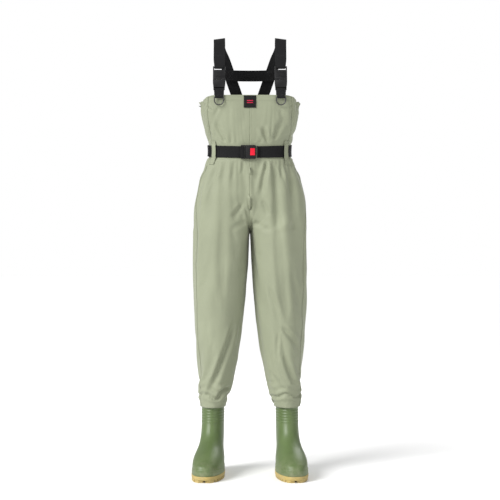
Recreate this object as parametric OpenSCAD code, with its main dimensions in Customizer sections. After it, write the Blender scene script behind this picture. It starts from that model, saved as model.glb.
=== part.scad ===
// Chest waders: a welded fabric bib and trousers with moulded boots, elastic shoulder straps and a belt.
// The wearer faces -Y, left is the wearer's left (+X), and heights are measured from the ground.

/* [Garment] */
// Height of the bib's top edge at the front
bib_top = 1243; // [1200:1:1500]
// Drop from the front top edge to the top edge at the sides
side_drop = 17; // [0:1:40]
// Drop from the front top edge to the top edge at the back
back_drop = 27; // [0:1:60]
// Height of the middle of the belt
belt_z = 1069; // [1000:1:1100]
// Height of the crotch
crotch = 797; // [740:1:860]
// Height of the lower edge of the legs, over the boots
leg_end = 220; // [190:1:225]
// Chest width
chest_w = 318; // [260:1:390]
// Waist width under the belt
waist_w = 274; // [230:1:330]
// Hip width over both legs
hip_w = 380; // [340:1:460]
// Depth from the garment's axis to the front: chest, waist, hip
chest_front = 105; // [85:1:130]
waist_front = 100; // [80:1:120]
hip_front = 119; // [95:1:145]
// Depth from the garment's axis to the back: chest, waist, hip
chest_back = 105; // [85:1:130]
waist_back = 98; // [80:1:120]
hip_back = 131; // [105:1:160]
// Thickness of the coated fabric
fabric = 2; // [1:0.1:2.5]
// Space between pieces that lie on each other
lay_gap = 0.5; // [0.3:0.1:0.8]
// Width of the welded seam tapes
tape_w = 18; // [12:1:24]
// Width of the square label on the bib
label_w = 40; // [30:1:50]

/* [Belt] */
// Width of the waist belt
belt_w = 38; // [30:1:45]
// Thickness of the belt webbing
belt_t = 2.2; // [1.5:0.1:2.6]
// How much lower the belt sits at the front than at the sides
belt_dip = 12; // [0:1:20]
// Length of the buckle's socket
socket_l = 40; // [36:1:48]
// Thickness of the buckle
buckle_t = 12; // [11:0.5:14]
// Width and height of the release button
button_w = 15; // [12:1:16]
button_h = 23; // [18:1:26]
// How far the release button travels
button_travel = 2.5; // [1.5:0.5:2.5]
// Width of a belt loop and how far it spans above and below the belt
loop_w = 22; // [18:1:28]
loop_over = 16; // [10:1:20]
// Distance of the front and back belt loops from the middle
loop_front_x = 112; // [95:1:118]
loop_back_x = 70; // [55:1:90]

/* [Shoulder straps] */
// Width of the elastic straps
strap_w = 38; // [32:1:45]
// Thickness of the elastic straps
strap_t = 2.2; // [1.5:0.1:2.6]
// Distance of the front straps from the middle
strap_x = 101; // [85:1:110]
// Height of the shoulder arch above the bib
strap_rise = 198; // [180:1:260]
// Radius of the strap over the shoulder
shoulder_r = 30; // [22:1:40]
// Lean of the front straps from upright
lean = 20; // [12:1:24]
// Distance of the back straps from the middle at the back's top edge
back_strap_x = 31; // [30:1:60]
// Overlap of the back straps on the back panel
back_overlap = 34; // [20:1:34]

/* [Shoulder buckles] */
// Width across a shoulder buckle
buckle_w = 41; // [38:1:48]
// Length of the socket half and of the prong half that shows
female_l = 33; // [30:1:40]
male_l = 51; // [46:1:60]
// Thickness of the socket half
female_t = 10; // [9:0.5:12]
// Wall of the socket half
female_wall = 1.8; // [1.4:0.1:2]
// Width of the webbing that holds the socket half
anchor_w = 32; // [28:1:34]
// Width of the short loop that holds the ring
keeper_w = 25; // [22:1:28]
// Inside width of the D-ring
ring_w = 26; // [24:1:30]
// Inside height of the D-ring
ring_h = 21; // [18:1:26]
// Radius of the ring's wire
wire_r = 1.9; // [1.5:0.1:2.2]
// Clearance all round a turning bar
run_gap = 0.1; // [0.05:0.01:0.1]
// Space between pieces that slide on each other
slide_gap = 0.4; // [0.3:0.1:0.5]

/* [Boots] */
// Distance of the boots from the middle
boot_x = 123; // [110:1:140]
// Height of the hidden top of the boot shaft
boot_top = 245; // [235:1:280]
// Width and depth of the boot shaft
shaft_w = 74; // [68:1:88]
shaft_d = 110; // [100:1:125]
// Distance from the shaft's axis to the toe and to the heel
toe_reach = 223; // [200:1:250]
heel_reach = 61; // [58:1:70]
// Width of the foot at the ball
foot_w = 102; // [92:1:118]
// Angle that each boot turns out
toe_out = 6; // [0:1:10]
// Wall of the boot
boot_wall = 3; // [2:0.5:4]
// Height of the top of the outsole
sole_top = 20; // [18:1:24]
// Depth of the tread
tread = 8; // [6:1:10]
// Thickness of the loose insole
insole_t = 4; // [3:0.5:5]

/* [Hidden] */

$fn = 48;
sage = [0.66, 0.68, 0.55];
tape_grey = [0.50, 0.52, 0.44];
webbing_black = [0.06, 0.06, 0.065];
plastic_black = [0.09, 0.09, 0.10];
red = [0.80, 0.10, 0.18];
steel = [0.25, 0.25, 0.26];
boot_green = [0.36, 0.46, 0.27];
gum = [0.74, 0.62, 0.34];
insole_grey = [0.30, 0.32, 0.30];

// The garment's axis stands behind the origin, so that the toes and the seat are equally far from it.
axis_y = (toe_reach - hip_back) / 2 - 1;
belt_low = belt_z - belt_w / 2 - 4;
belt_high = belt_z + belt_w / 2 + 4;
side_top = bib_top - side_drop;
back_top = bib_top - back_drop;
rise_top = mix(crotch, belt_z, 0.5);
ankle_w = shaft_w + 2 * (fabric + 3);
ankle_d = shaft_d + 2 * (fabric + 3.5);
seam_gap = 0.12;

function mix(a, b, t) = a + (b - a) * t;
function clamp(v, lo, hi) = min(max(v, lo), hi);
function ease(t) = let (c = clamp(t, 0, 1)) c * c * (3 - 2 * c);
function unit(v) = v / norm(v);

// Row of a table whose heights rise, and a smooth reading of column k at height z.
function row_below(table, z, j = 0) = (j >= len(table) - 2 || z < table[j + 1][0]) ? j : row_below(table, z, j + 1);
function slope(table, j, k) = let (a = max(j - 1, 0), b = min(j + 1, len(table) - 1))
    (table[b][k] - table[a][k]) / (table[b][0] - table[a][0]);
function at(table, z, k) =
    let (j = row_below(table, z), h = table[j + 1][0] - table[j][0], t = clamp((z - table[j][0]) / h, 0, 1))
    (2 * t ^ 3 - 3 * t ^ 2 + 1) * table[j][k] + (t ^ 3 - 2 * t ^ 2 + t) * h * slope(table, j, k)
    + (3 * t ^ 2 - 2 * t ^ 3) * table[j + 1][k] + (t ^ 3 - t ^ 2) * h * slope(table, j + 1, k);

// ---- The garment's surface ----

// Share of the way up from the crotch to the belt, and share of the way out from waist to hip.
hip_rows = [[0, 1], [0.2, 0.96], [0.4, 0.88], [0.58, 0.74], [0.77, 0.53], [0.9, 0.28]];
// Share of the way up from the belt to the bib's top, and share of the way out from waist to chest.
chest_rows = [[0.35, 0.5], [0.7, 0.95], [1, 0.97]];
waist_square = 2.4;
hip_square = 3;
chest_square = 4;
// Columns: height, half width, depth to the front, depth to the back, squareness.
torso = concat(
    [for (r = hip_rows) [mix(crotch, belt_low, r[0]), mix(waist_w, hip_w, r[1]) / 2,
        mix(waist_front, hip_front, r[1]), mix(waist_back, hip_back, r[1]), mix(waist_square, hip_square, r[1])]],
    [for (z = [belt_low, belt_high]) [z, waist_w / 2, waist_front, waist_back, waist_square]],
    [for (r = chest_rows) [mix(belt_high, bib_top, r[0]), mix(waist_w, chest_w, r[1]) / 2,
        mix(waist_front, chest_front, r[1]), mix(waist_back, chest_back, r[1]),
        mix(waist_square, chest_square, r[1])]]);

// Share of the way down the leg, then the shares of the way from hip to ankle: outer side, inner side, depth.
leg_rows = [[0, 0, 0, 0.13], [0.05, 0.02, 0.05, 0.14], [0.27, 0.1, 0.16, 0.24], [0.5, 0.22, 0.32, 0.42],
    [0.73, 0.54, 0.57, 0.64], [0.88, 0.8, 0.8, 0.86], [1, 1, 1, 1]];
ankle_in = boot_x - ankle_w / 2;
ankle_out = boot_x + ankle_w / 2;
// Columns: height, outer side, inner side, depth to the front, depth to the back.
leg = [for (i = [len(leg_rows) - 1 : -1 : 0]) let (r = leg_rows[i]) [mix(crotch, leg_end, r[0]),
    mix(hip_w / 2, ankle_out, r[1]), mix(0.2, ankle_in, r[2]),
    mix(hip_front, ankle_d / 2, r[3]), mix(hip_back, ankle_d / 2 + 1, r[3])]];

function rounded(a, n) = pow(pow(abs(cos(a)), n) + pow(abs(sin(a)), n), -1 / n);
// phi turns from 0 at the front middle through 90 at the wearer's left to 180 at the back middle.
function torso_xy(z, phi, inset) =
    let (r = rounded(phi, at(torso, z, 4)), depth = at(torso, z, cos(phi) > 0 ? 2 : 3))
    [(at(torso, z, 1) - inset) * sin(phi) * r, -(depth - inset) * cos(phi) * r];
// psi turns from -90 at the inseam through 0 at the front to 90 at the outer side of the left leg.
function leg_xy(z, psi, inset) =
    let (outer = at(leg, z, 1), inner = at(leg, z, 2), depth = at(leg, z, cos(psi) > 0 ? 3 : 4))
    [(outer + inner) / 2 + ((outer - inner) / 2 - inset) * sin(psi), -(depth - inset) * cos(psi)];
// Between the rise's top and the crotch the torso's outline turns into the two legs' outlines.
function parting(z, phi) = let (t = clamp((rise_top - z) / (rise_top - crotch), 0, 1))
    mix(ease(t), t * t, pow(cos(phi), 6));
function body_xy(z, phi, inset) = let (w = parting(z, phi), p = phi > 180 ? phi - 360 : phi, q = abs(p),
    xy = w == 0 ? torso_xy(z, q, inset)
        : (1 - w) * torso_xy(z, q, inset) + w * leg_xy(z, 2 * q - 90, inset))
    [p < 0 ? -xy[0] : xy[0], xy[1]];
// The top edge falls from front to back, and the rings round the waist tilt with the belt.
function top_edge(phi) = let (p = phi > 180 ? 360 - phi : abs(phi)) p < 90 ? mix(bib_top, side_top, ease((p - 38) / 30))
    : mix(side_top, back_top, ease((p - 110) / 40));
function tilt(z, phi) = let (near = 1 - ease((abs(z - belt_z) - belt_w) / (bib_top - belt_z - belt_w)))
    z - belt_dip * cos(phi) * (z > rise_top ? near : 0);
function height(z, phi) = z <= belt_high ? tilt(z, phi)
    : tilt(mix(belt_high, top_edge(phi), (z - belt_high) / (bib_top - belt_high)), phi);
function body(z, phi, inset) = let (p = body_xy(z, phi, inset)) [p[0], axis_y + p[1], height(z, phi)];
function leg_at(z, psi, inset) = let (p = leg_xy(z, psi, inset)) [p[0], axis_y + p[1], z];
function side_seam(z) = z < rise_top ? 75 : mix(75, 46, ease((z - rise_top) / (bib_top - rise_top)));

leg_steps = 15;
levels = concat([for (i = [0 : leg_steps - 1]) mix(leg_end, crotch, i / leg_steps)],
    [for (t = [0, 0.08, 0.18, 0.3, 0.44, 0.6, 0.76, 0.9]) mix(crotch, belt_low, t)],
    [belt_low, belt_high], [for (t = [0.2, 0.45, 0.7, 0.85, 1]) mix(belt_high, bib_top, t)]);

// ---- Shapes that repeat ----

// Closed solid through a stack of rings of equal length; the ends are closed by strips across each ring.
module stack(rings) {
    m = len(rings[0]);
    n = len(rings);
    walls = [for (i = [0 : n - 2], k = [0 : m - 1]) each
        let (a = i * m + k, b = i * m + (k + 1) % m, c = a + m, d = b + m) [[a, c, b], [b, c, d]]];
    low = [for (k = [0 : m / 2 - 2]) each [[k, k + 1, m - 1 - k], [k + 1, m - 2 - k, m - 1 - k]]];
    top = [for (f = low) [f[2] + (n - 1) * m, f[1] + (n - 1) * m, f[0] + (n - 1) * m]];
    polyhedron(points = [for (r = rings) each r], faces = concat(walls, low, top));
}

function reversed(list) = [for (i = [len(list) - 1 : -1 : 0]) list[i]];

// Part of the garment's surface, as a shell between two insets; negative insets lie outside.
module skin(heights, from, to, outer, inner, steps) {
    stack([for (z = heights) let (phis = [for (k = [0 : steps]) mix(from(z), to(z), k / steps)])
        concat([for (p = phis) body(z, p, outer)], reversed([for (p = phis) body(z, p, inner)]))]);
}

// The same on the left leg alone.
module leg_skin(heights, from, to, outer, inner, steps) {
    stack([for (z = heights) let (psis = [for (k = [0 : steps]) mix(from, to, k / steps)])
        concat([for (p = psis) leg_at(z, p, outer)], reversed([for (p = psis) leg_at(z, p, inner)]))]);
}

// Flat strap through points; each entry holds the middle, the direction of its width and its outward face,
// and may hold a width of its own.
module ribbon(path, width, thickness) {
    hand = cross(path[0][1], path[0][2]) * (path[1][0] - path[0][0]) > 0 ? 1 : -1;
    stack([for (s = path) let (c = s[0], own = len(s) > 3 ? s[3] : width, w = s[1] * own / 2 * hand,
        t = s[2] * thickness / 2)
        [c - w - t, c + w - t, c + w + t, c - w + t]]);
}

// Closed band: the last ring is joined to the first one.
module hoop(rings) {
    m = len(rings[0]);
    n = len(rings);
    polyhedron(points = [for (r = rings) each r], faces = [for (i = [0 : n - 1], k = [0 : m - 1]) each
        let (j = (i + 1) % n, l = (k + 1) % m, a = i * m + k, b = i * m + l, c = j * m + k, d = j * m + l)
        [[a, c, b], [b, c, d]]]);
}

module right() { mirror([1, 0, 0]) children(); }

// ---- Fabric ----

// Leg, seat and bib lengths of a panel; their butted edges lie at the crotch and under the belt.
belt_line = mix(belt_low, belt_high, 0.5);
panel_lengths = [[for (z = levels) if (z < crotch - 1) z, crotch - seam_gap / 2],
    concat([crotch + seam_gap / 2], [for (z = levels) if (z > crotch + 1 && z < belt_line) z], [belt_line - seam_gap / 2]),
    concat([belt_line + seam_gap / 2], [for (z = levels) if (z > belt_line) z])];

module front_panel() {
    color(sage) for (heights = panel_lengths)
        skin(heights, function(z) seam_gap, function(z) side_seam(z) - seam_gap, 0, fabric, 14);
}

module back_panel() {
    color(sage) for (heights = panel_lengths)
        skin(heights, function(z) side_seam(z) + seam_gap, function(z) 180 - seam_gap, 0, fabric, 20);
}

cut_levels = [for (heights = panel_lengths) each heights];
tape_levels = [for (z = cut_levels) if (z > leg_end + 30 && z < bib_top - 40) z];
torso_tape_levels = [for (z = cut_levels) if (z > crotch + 105 && z < bib_top - 40) z];
tape_out = fabric + lay_gap;
tape_in = tape_out + 0.8;

module side_seam_tape() {
    half = tape_w / 2 / hip_front * 30;
    color(tape_grey) skin(tape_levels, function(z) side_seam(z) - half, function(z) side_seam(z) + half,
        tape_out, tape_in, 4);
}

module centre_seam_tape() {
    half = tape_w / 2 / chest_w * 110;
    color(tape_grey) {
        skin(torso_tape_levels, function(z) -half, function(z) half, tape_out, tape_in, 2);
        skin(torso_tape_levels, function(z) 180 - half, function(z) 180 + half, tape_out, tape_in, 2);
    }
}

module inseam_tape() {
    half = tape_w / 2 / hip_front * 57;
    inseam_levels = [for (z = tape_levels) if (z < crotch - 30) z];
    color(tape_grey) leg_skin(inseam_levels, -90 - half, -90 + half, tape_out, tape_in, 4);
}

hem_levels = [for (t = [0.75, 0.85, 0.95]) mix(belt_high, bib_top, t)];

module side_elastic() {
    color(webbing_black) skin(hem_levels, function(z) 56, function(z) 128, tape_out, tape_out + 1.2, 12);
}

module front_hem_facing() {
    color(sage) skin(hem_levels, function(z) -26, function(z) 26, tape_out + 3, tape_out + 4, 12);
}

// ---- Label: a square patch with a plain two-bar mark ----

label_z = bib_top - label_w / 2 - 2;
label_y = axis_y - chest_front - 1.6;

module label_patch() {
    color(plastic_black) translate([-label_w / 2, label_y, label_z - label_w / 2])
        cube([label_w, 1.2, label_w]);
}

module label_mark() {
    bar = [label_w * 0.5, 0.5, label_w * 0.08];
    color(red) for (side = [-1, 1])
        translate([-bar[0] / 2, label_y - bar[1], label_z + side * bar[2] - bar[2] / 2]) cube(bar);
}

// ---- Shoulder straps ----

apex_z = bib_top + strap_rise;
up = [0, sin(lean), cos(lean)];
front_face = [0, -cos(lean), sin(lean)];
// The mouth of the shoulder buckle, set so that the strap's line meets the inside of the bib's top edge.
mouth_rise = 50;
mouth = [strap_x, axis_y - chest_front + 6 + mouth_rise * tan(lean), bib_top + mouth_rise];
arch_z = apex_z - strap_t / 2 - shoulder_r;
front_run = (arch_z + shoulder_r * sin(lean) - mouth[2]) / cos(lean);
arch_y = mouth[1] + front_run * sin(lean) + shoulder_r * cos(lean);
// The back run goes from the arch to the outside of the back panel's top edge.
back_foot = [back_strap_x, axis_y + chest_back + strap_t / 2 + 1.3, back_top + 10];
back_lean = atan((back_foot[1] - arch_y - shoulder_r) / (arch_z - back_foot[2]));
back_face = [0, cos(back_lean), sin(back_lean)];
back_start = [strap_x + 2, arch_y, arch_z] + shoulder_r * back_face;
back_way = unit(back_foot - back_start);
back_width = unit(cross(back_way, back_face));
bar_at = male_l - 3;
bar_r = 2.4;
tail_l = 58;

function arch(a) = let (t = (a - lean) / (180 - back_lean - lean), face = [0, -cos(a), sin(a)])
    [[strap_x + 2 * t, arch_y, arch_z] + shoulder_r * face, unit(mix([1, 0, 0], back_width, ease(t))), face];

module strap_back() {
    stations = [for (k = [0 : 8]) arch(mix(92, 180 - back_lean, k / 8))];
    drop = [0, 0, 2 - back_overlap];
    sewn = [back_foot[0], back_foot[1] + 0.4, back_foot[2]] + 12 * [back_way[0], 0, back_way[2]];
    flat = unit([back_width[0], 0, back_width[2]]);
    color(webbing_black) ribbon(concat(stations, [[back_foot, back_width, back_face],
        [sewn, flat, [0, 1, 0]], [sewn + drop, [1, 0, 0], [0, 1, 0]]]), strap_w, strap_t);
}

module strap_front() {
    bar = mouth + up * bar_at;
    turn_r = bar_r + slide_gap + strap_t / 2;
    neck_w = slot_w - 1;
    over = [for (k = [6 : -1 : 0]) arch(mix(lean, 90, k / 6))];
    front_ply = [[bar + up * 26, [1, 0, 0], front_face], [bar + up * 14 + front_face * turn_r * 0.6, [1, 0, 0],
        front_face, neck_w]];
    turn = [for (a = [0 : 30 : 180]) let (f = cos(a) * front_face - sin(a) * up)
        [bar + f * turn_r, [1, 0, 0], f, neck_w]];
    tail = [[bar + up * tail_l - front_face * turn_r, [1, 0, 0], -front_face, neck_w]];
    color(webbing_black) ribbon(concat(over, front_ply, turn, tail), strap_w, strap_t);
}

module cross_strap() {
    z_mid = mix(back_top, arch_z, 0.58);
    reach = mix(back_foot[0], back_start[0], 0.58) - strap_w * 0.3;
    y_mid = mix(back_foot[1], back_start[1], 0.58);
    lift = strap_t + lay_gap;
    path = [for (x = [-reach - strap_w / 2, 0, reach + strap_w / 2])
        [[x, y_mid, z_mid] - lift * back_face, [0, -sin(back_lean), cos(back_lean)], back_face]];
    color(webbing_black) ribbon(path, strap_w, strap_t);
}

module back_anchor_patch() {
    patch_w = 2 * back_strap_x + strap_w + 16;
    color(sage) translate([-patch_w / 2, back_foot[1] + strap_t / 2 + lay_gap + 0.6, back_top - back_overlap - 10])
        cube([patch_w, 1, back_overlap]);
}

// ---- Shoulder buckle, in its own frame: mouth of the socket at the origin, prongs' half upwards ----

slot_w = buckle_w - 9;
rail = 4;
cavity_w = buckle_w - 2 * female_wall;
cavity_t = female_t - 2 * female_wall;
latch_root = [7.5, 4.5];
latch_r = 2;
latch_t = cavity_t - 2 * slide_gap;

module at_shoulder() { translate(mouth) rotate([-lean, 0, 0]) children(); }

module along_y(length) { rotate([90, 0, 0]) translate([0, 0, -length / 2]) children(); }

module plate(size, r) {
    linear_extrude(size[2]) hull() for (x = [-1, 1], y = [-1, 1])
        translate([x * (size[0] / 2 - r), y * (size[1] / 2 - r)]) circle(r, $fn = 24);
}

module male() {
    shoulder_h = 8;
    color(plastic_black) difference() {
        union() {
            translate([-buckle_w / 2, -3, slide_gap]) cube([buckle_w, 6, shoulder_h]);
            for (side = [-1, 1]) translate([side * (buckle_w - rail) / 2 - rail / 2, -2.5, slide_gap])
                cube([rail, 5, male_l - slide_gap]);
            translate([-slot_w / 2 - 1, -2.5, 8]) cube([slot_w + 2, 5, bar_at - 18]);
            for (z = [13 : 5 : bar_at - 15]) translate([-slot_w / 2 + 2, -3.3, z]) cube([slot_w - 4, 6, 2]);
            translate([0, 0, bar_at]) rotate([0, 90, 0]) cylinder(r = bar_r, h = buckle_w - 2, center = true);
            translate([-2.5, -latch_t / 2, -20]) cube([5, latch_t, 21]);
        }
        for (side = [-1, 1]) translate([side * latch_root[0], 0, latch_root[1]]) {
            along_y(20) cylinder(r = latch_r + run_gap, h = 20);
            translate([-latch_r - run_gap, -10, -10]) cube([2 * latch_r + 2 * run_gap, 20, 10]);
        }
    }
}

module latch(side) {
    tip = cavity_w / 2 - slide_gap;
    color(plastic_black) translate([side * latch_root[0], 0, latch_root[1]]) {
        along_y(latch_t) cylinder(r = latch_r, h = latch_t);
        translate([-1.2, -latch_t / 2, -16]) cube([2.4, latch_t, 16]);
        translate([0, latch_t / 2, 0]) rotate([90, 0, 0]) linear_extrude(latch_t)
            polygon([[-1.2 * side, -15], [-1.2 * side, -23], [side * (tip - latch_root[0] - 5), -25],
                [side * (tip - latch_root[0]), -20], [side * (tip - latch_root[0]), -11],
                [side * (tip - latch_root[0] - 3), -10], [1.2 * side, -14]]);
    }
}

module female() {
    foot = buckle_w - 4;
    bar = 2 * anchor_bar_r;
    color(plastic_black) difference() {
        union() {
            translate([0, female_t / 2, 0]) rotate([90, 0, 0]) linear_extrude(female_t)
                polygon([[-buckle_w / 2, 0], [buckle_w / 2, 0], [buckle_w / 2, -7], [foot / 2, -female_l + 6],
                    [foot / 2, -female_l], [-foot / 2, -female_l], [-foot / 2, -female_l + 6],
                    [-buckle_w / 2, -7]]);
        }
        translate([0, cavity_t / 2, 0]) rotate([90, 0, 0]) linear_extrude(cavity_t)
            polygon([[-cavity_w / 2, 1], [cavity_w / 2, 1], [cavity_w / 2, -8], [cavity_w / 2, -female_l + 11],
                [-cavity_w / 2, -female_l + 11], [-cavity_w / 2, -8]]);
        for (side = [-1, 1]) translate([side * buckle_w / 2 - 4, -cavity_t / 2, -20]) cube([8, cavity_t, 11]);
        translate([-anchor_w / 2 - 0.5, -10, -female_l + bar]) cube([anchor_w + 1, 20, 3.6]);
        for (side = [-1, 1]) translate([-anchor_w / 2 - 0.5, side * (10 + anchor_bar_r) - 10, -female_l - 1])
            cube([anchor_w + 1, 20, bar + 2]);
    }
}

// How far the bib's surface stands in front of the garment's axis near its top edge.
function bib_y(x) = axis_y - chest_front * pow(1 - pow(abs(x) / (chest_w / 2), chest_square), 1 / chest_square);

anchor_bar_r = 1.5;
anchor_t = 1.6;
anchor_bar = mouth - up * (female_l - anchor_bar_r);
anchor_turn = anchor_bar_r * sqrt(2) + anchor_t / 2 + 0.1;

// Webbing loop round the socket's lower bar; the back ply goes down inside the bib and is sewn there.
module anchor_webbing() {
    down = 45;
    inside_y = bib_y(strap_x + anchor_w / 2) + fabric + lay_gap + anchor_t;
    turn = [for (a = [0 : 30 : 180]) let (f = sin(a) * up - cos(a) * front_face)
        [anchor_bar + f * anchor_turn, [1, 0, 0], f]];
    back_ply = [for (z = [bib_top - down, bib_top - 4]) [[strap_x, inside_y, z], [1, 0, 0], [0, 1, 0]]];
    front_ply = [[anchor_bar - up * 8 + front_face * anchor_turn * 0.6, [1, 0, 0], front_face]];
    color(webbing_black) ribbon(concat(back_ply, turn, front_ply), anchor_w, anchor_t);
}

ring_bar = [strap_x, axis_y - chest_front - 2.6, bib_top - 8];

// Short loop sewn to the anchor webbing; it hangs in front of the bib and its bore carries the D-ring's bar.
module ring_keeper() {
    wall = 1.5;
    bore = wire_r + run_gap;
    sewn = anchor_bar - up * 4 + front_face * (anchor_turn + anchor_t + 0.2);
    path = [[ring_bar + [0, 0, bore + wall - 0.4], [1, 0, 0], [0, -1, 0]],
        [[ring_bar[0], ring_bar[1] + 1.2, bib_top + 5], [1, 0, 0], [0, -1, 0]], [sewn, [1, 0, 0], front_face]];
    color(webbing_black) {
        translate(ring_bar) rotate([0, 90, 0]) difference() {
            cylinder(r = bore + wall, h = keeper_w, center = true);
            cylinder(r = bore, h = keeper_w + 2, center = true);
        }
        ribbon(path, keeper_w, wall);
    }
}

// D-ring: a straight bar in the keeper and a bow of the same wire below it.
module d_ring() {
    half = ring_w / 2 + wire_r;
    drop = ring_h + 2 * wire_r - half;
    color(steel) translate(ring_bar) {
        rotate([0, 90, 0]) cylinder(r = wire_r, h = 2 * half, center = true);
        for (side = [-1, 1]) translate([side * half, 0, 0]) {
            sphere(wire_r);
            translate([0, 0, -drop]) cylinder(r = wire_r, h = drop);
        }
        translate([0, 0, -drop]) rotate([90, 0, 0]) rotate([0, 0, 180])
            rotate_extrude(angle = 180) translate([half, 0]) circle(wire_r, $fn = 24);
    }
}

// ---- Waist belt ----

belt_gap = lay_gap + 0.6;
belt_out = -belt_gap - belt_t;
belt_levels = [belt_z - belt_w / 2, belt_z + belt_w / 2];
function belt_angle(x) = asin(clamp(x / (waist_w / 2 * 1.02), -1, 1));
buckle_z = belt_z - belt_dip;
buckle_y = axis_y - waist_front - lay_gap;
tongue_l = 16;
socket_x = [-14, socket_l - 14];
wrap = socket_x[1] + 2;
left_end = -(tongue_l + 18);
buckle_h = belt_w + 6;

module belt_webbing() {
    from = belt_angle(wrap);
    to = 360 - belt_angle(loop_front_x - loop_w / 2 - 4);
    color(webbing_black) skin(belt_levels, function(z) from, function(z) to, belt_out, -belt_gap, 66);
    color(webbing_black) translate([socket_x[1] - 6, buckle_y - belt_t - 4, buckle_z - belt_w / 2])
        cube([8.2, 1.6, belt_w]);
}

// The run between the first loop and the tongue gives way when the tongue is pulled out.
module belt_left_run() {
    color(webbing_black) skin(belt_levels, function(z) belt_angle(-(loop_front_x - loop_w / 2 - 4.4)),
        function(z) belt_angle(left_end - 1), belt_out, -belt_gap, 10);
}

// Free end of the belt, tucked flat behind the run that it comes back along.
module belt_tail() {
    color(webbing_black) skin([belt_z - belt_w / 2 + 1, belt_z + belt_w / 2 - 1],
        function(z) 360 - belt_angle(loop_front_x + loop_w / 2 + 36),
        function(z) 360 - belt_angle(loop_front_x + loop_w / 2 + 6), belt_out - 0.4 - belt_t, belt_out - 0.4, 8);
}

module belt_block(x0, x1, y0, y1, h) {
    translate([x0, buckle_y - y1, buckle_z - h / 2]) cube([x1 - x0, y1 - y0, h]);
}

button_x = [1, 1 + button_w];
shell_wall = 2;
split = buckle_t * 0.4;

module belt_socket_back() {
    color(plastic_black) difference() {
        belt_block(socket_x[0], socket_x[1] - 8, 0.2, split, buckle_h);
        belt_block(socket_x[0] - 1, socket_x[1] - 12, shell_wall, split + 1, buckle_h - 6);
    }
}

module belt_socket_front() {
    color(plastic_black) difference() {
        union() {
            belt_block(socket_x[0], socket_x[1] - 8, split + 0.1, buckle_t, buckle_h);
            belt_block(socket_x[1] - 8.2, socket_x[1], split + 0.1, buckle_t - 3, buckle_h - 4);
        }
        belt_block(socket_x[0] - 1, socket_x[1] - 12, split, buckle_t - shell_wall, buckle_h - 6);
        belt_block(button_x[0] - 0.4, button_x[1] + 0.4, split, buckle_t + 1, button_h + 0.8);
        belt_block(socket_x[1] - 7, socket_x[1] - 4, 0, buckle_t + 1, belt_w + 1);
        belt_block(socket_x[1] - 7, socket_x[1] + 1, 0, split + 1.4, belt_w + 1);
    }
}

// Two prongs slide into the socket on either side of the button; two bars take the webbing.
module belt_tongue() {
    prong_h = 6;
    prong_y = [shell_wall + slide_gap, buckle_t - shell_wall - slide_gap];
    color(plastic_black) {
        for (side = [-1, 1]) translate([socket_x[0] - 2.4, buckle_y - prong_y[1],
            buckle_z + side * (buckle_h / 2 - 3 - slide_gap - prong_h / 2) - prong_h / 2])
            cube([26, prong_y[1] - prong_y[0], prong_h]);
        difference() {
            belt_block(left_end + 4, socket_x[0] - slide_gap, 1.4, buckle_t - 2, buckle_h);
            belt_block(left_end + 7, left_end + 10, 0, buckle_t, belt_w + 1);
            belt_block(left_end + 13, left_end + 16, 0, buckle_t, belt_w + 1);
            belt_block(left_end + 3, left_end + 16, buckle_t - 4.4, buckle_t, belt_w + 1);
            belt_block(left_end + 3, left_end + 16, 0, 4, belt_w + 1);
        }
    }
}

// The belt's end, up through the tongue's slot, over the bar and back along itself.
module belt_tongue_webbing() {
    y_front = buckle_t - 4;
    color(webbing_black) {
        belt_block(left_end + 7.4, left_end + 9.2, 1.6, y_front, belt_w);
        belt_block(left_end - 0.4, left_end + 7.5, 1.6, 3.4, belt_w);
        belt_block(left_end + 9.1, left_end + 15.4, y_front - 0.1, y_front + 1.4, belt_w);
        belt_block(left_end + 7.4, left_end + 9.2, y_front - 0.1, y_front + 1.4, belt_w);
    }
}

module belt_button() {
    stem = 9;
    color(red) {
        belt_block(button_x[0], button_x[1], split + 1 + button_travel, buckle_t + 1.4, button_h);
        translate([(button_x[0] + button_x[1]) / 2, buckle_y - split - button_travel - 1.5, buckle_z])
            rotate([-90, 0, 0]) cylinder(r = 1.4, h = stem / 4);
    }
}

// Coil spring between the back shell and the button.
module belt_button_spring() {
    coil_r = 3;
    spring_wire = 0.5;
    turns = 4;
    y0 = buckle_y - shell_wall - 0.6;
    length = split + button_travel + 1 - shell_wall - 1.3;
    centre = [(button_x[0] + button_x[1]) / 2, y0, buckle_z];
    function ring(i) = let (a = 30 * i, o = [cos(a), 0, sin(a)], c = centre + coil_r * o
        - [0, length * i / (12 * turns), 0])
        [for (k = [0 : 5]) c + spring_wire * (cos(60 * k) * o + sin(60 * k) * [0, 1, 0])];
    color(steel) stack([for (i = [0 : 12 * turns]) ring(i)]);
}

// Belt loops: a strip that stands off the garment by the belt's thickness and is sewn above and below.
module belt_loop(angle, stand_off) {
    half = loop_w / 2 / (waist_w / 2) * 57;
    top = belt_z + belt_w / 2 + loop_over;
    low = belt_z - belt_w / 2 - loop_over - 8;
    sewn = lay_gap + 0.8;
    rows = [[low, sewn], [low + 10, sewn], [belt_z - belt_w / 2 - 2, stand_off],
        [belt_z + belt_w / 2 + 2, stand_off], [top - 8, sewn], [top, sewn]];
    color(sage) stack([for (r = rows) let (phis = [for (k = [0 : 3]) angle - half + 2 * half * k / 3])
        concat([for (p = phis) body(r[0], p, -r[1] - 1.4)], reversed([for (p = phis) body(r[0], p, -r[1])]))]);
}

front_loop_angle = belt_angle(loop_front_x);
back_loop_angle = 180 - belt_angle(loop_back_x);
loop_stand_off = belt_gap + 2 * belt_t + 2 * lay_gap;

// ---- Boots, each in its own frame: shaft axis at the origin, toe towards -Y ----

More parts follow.
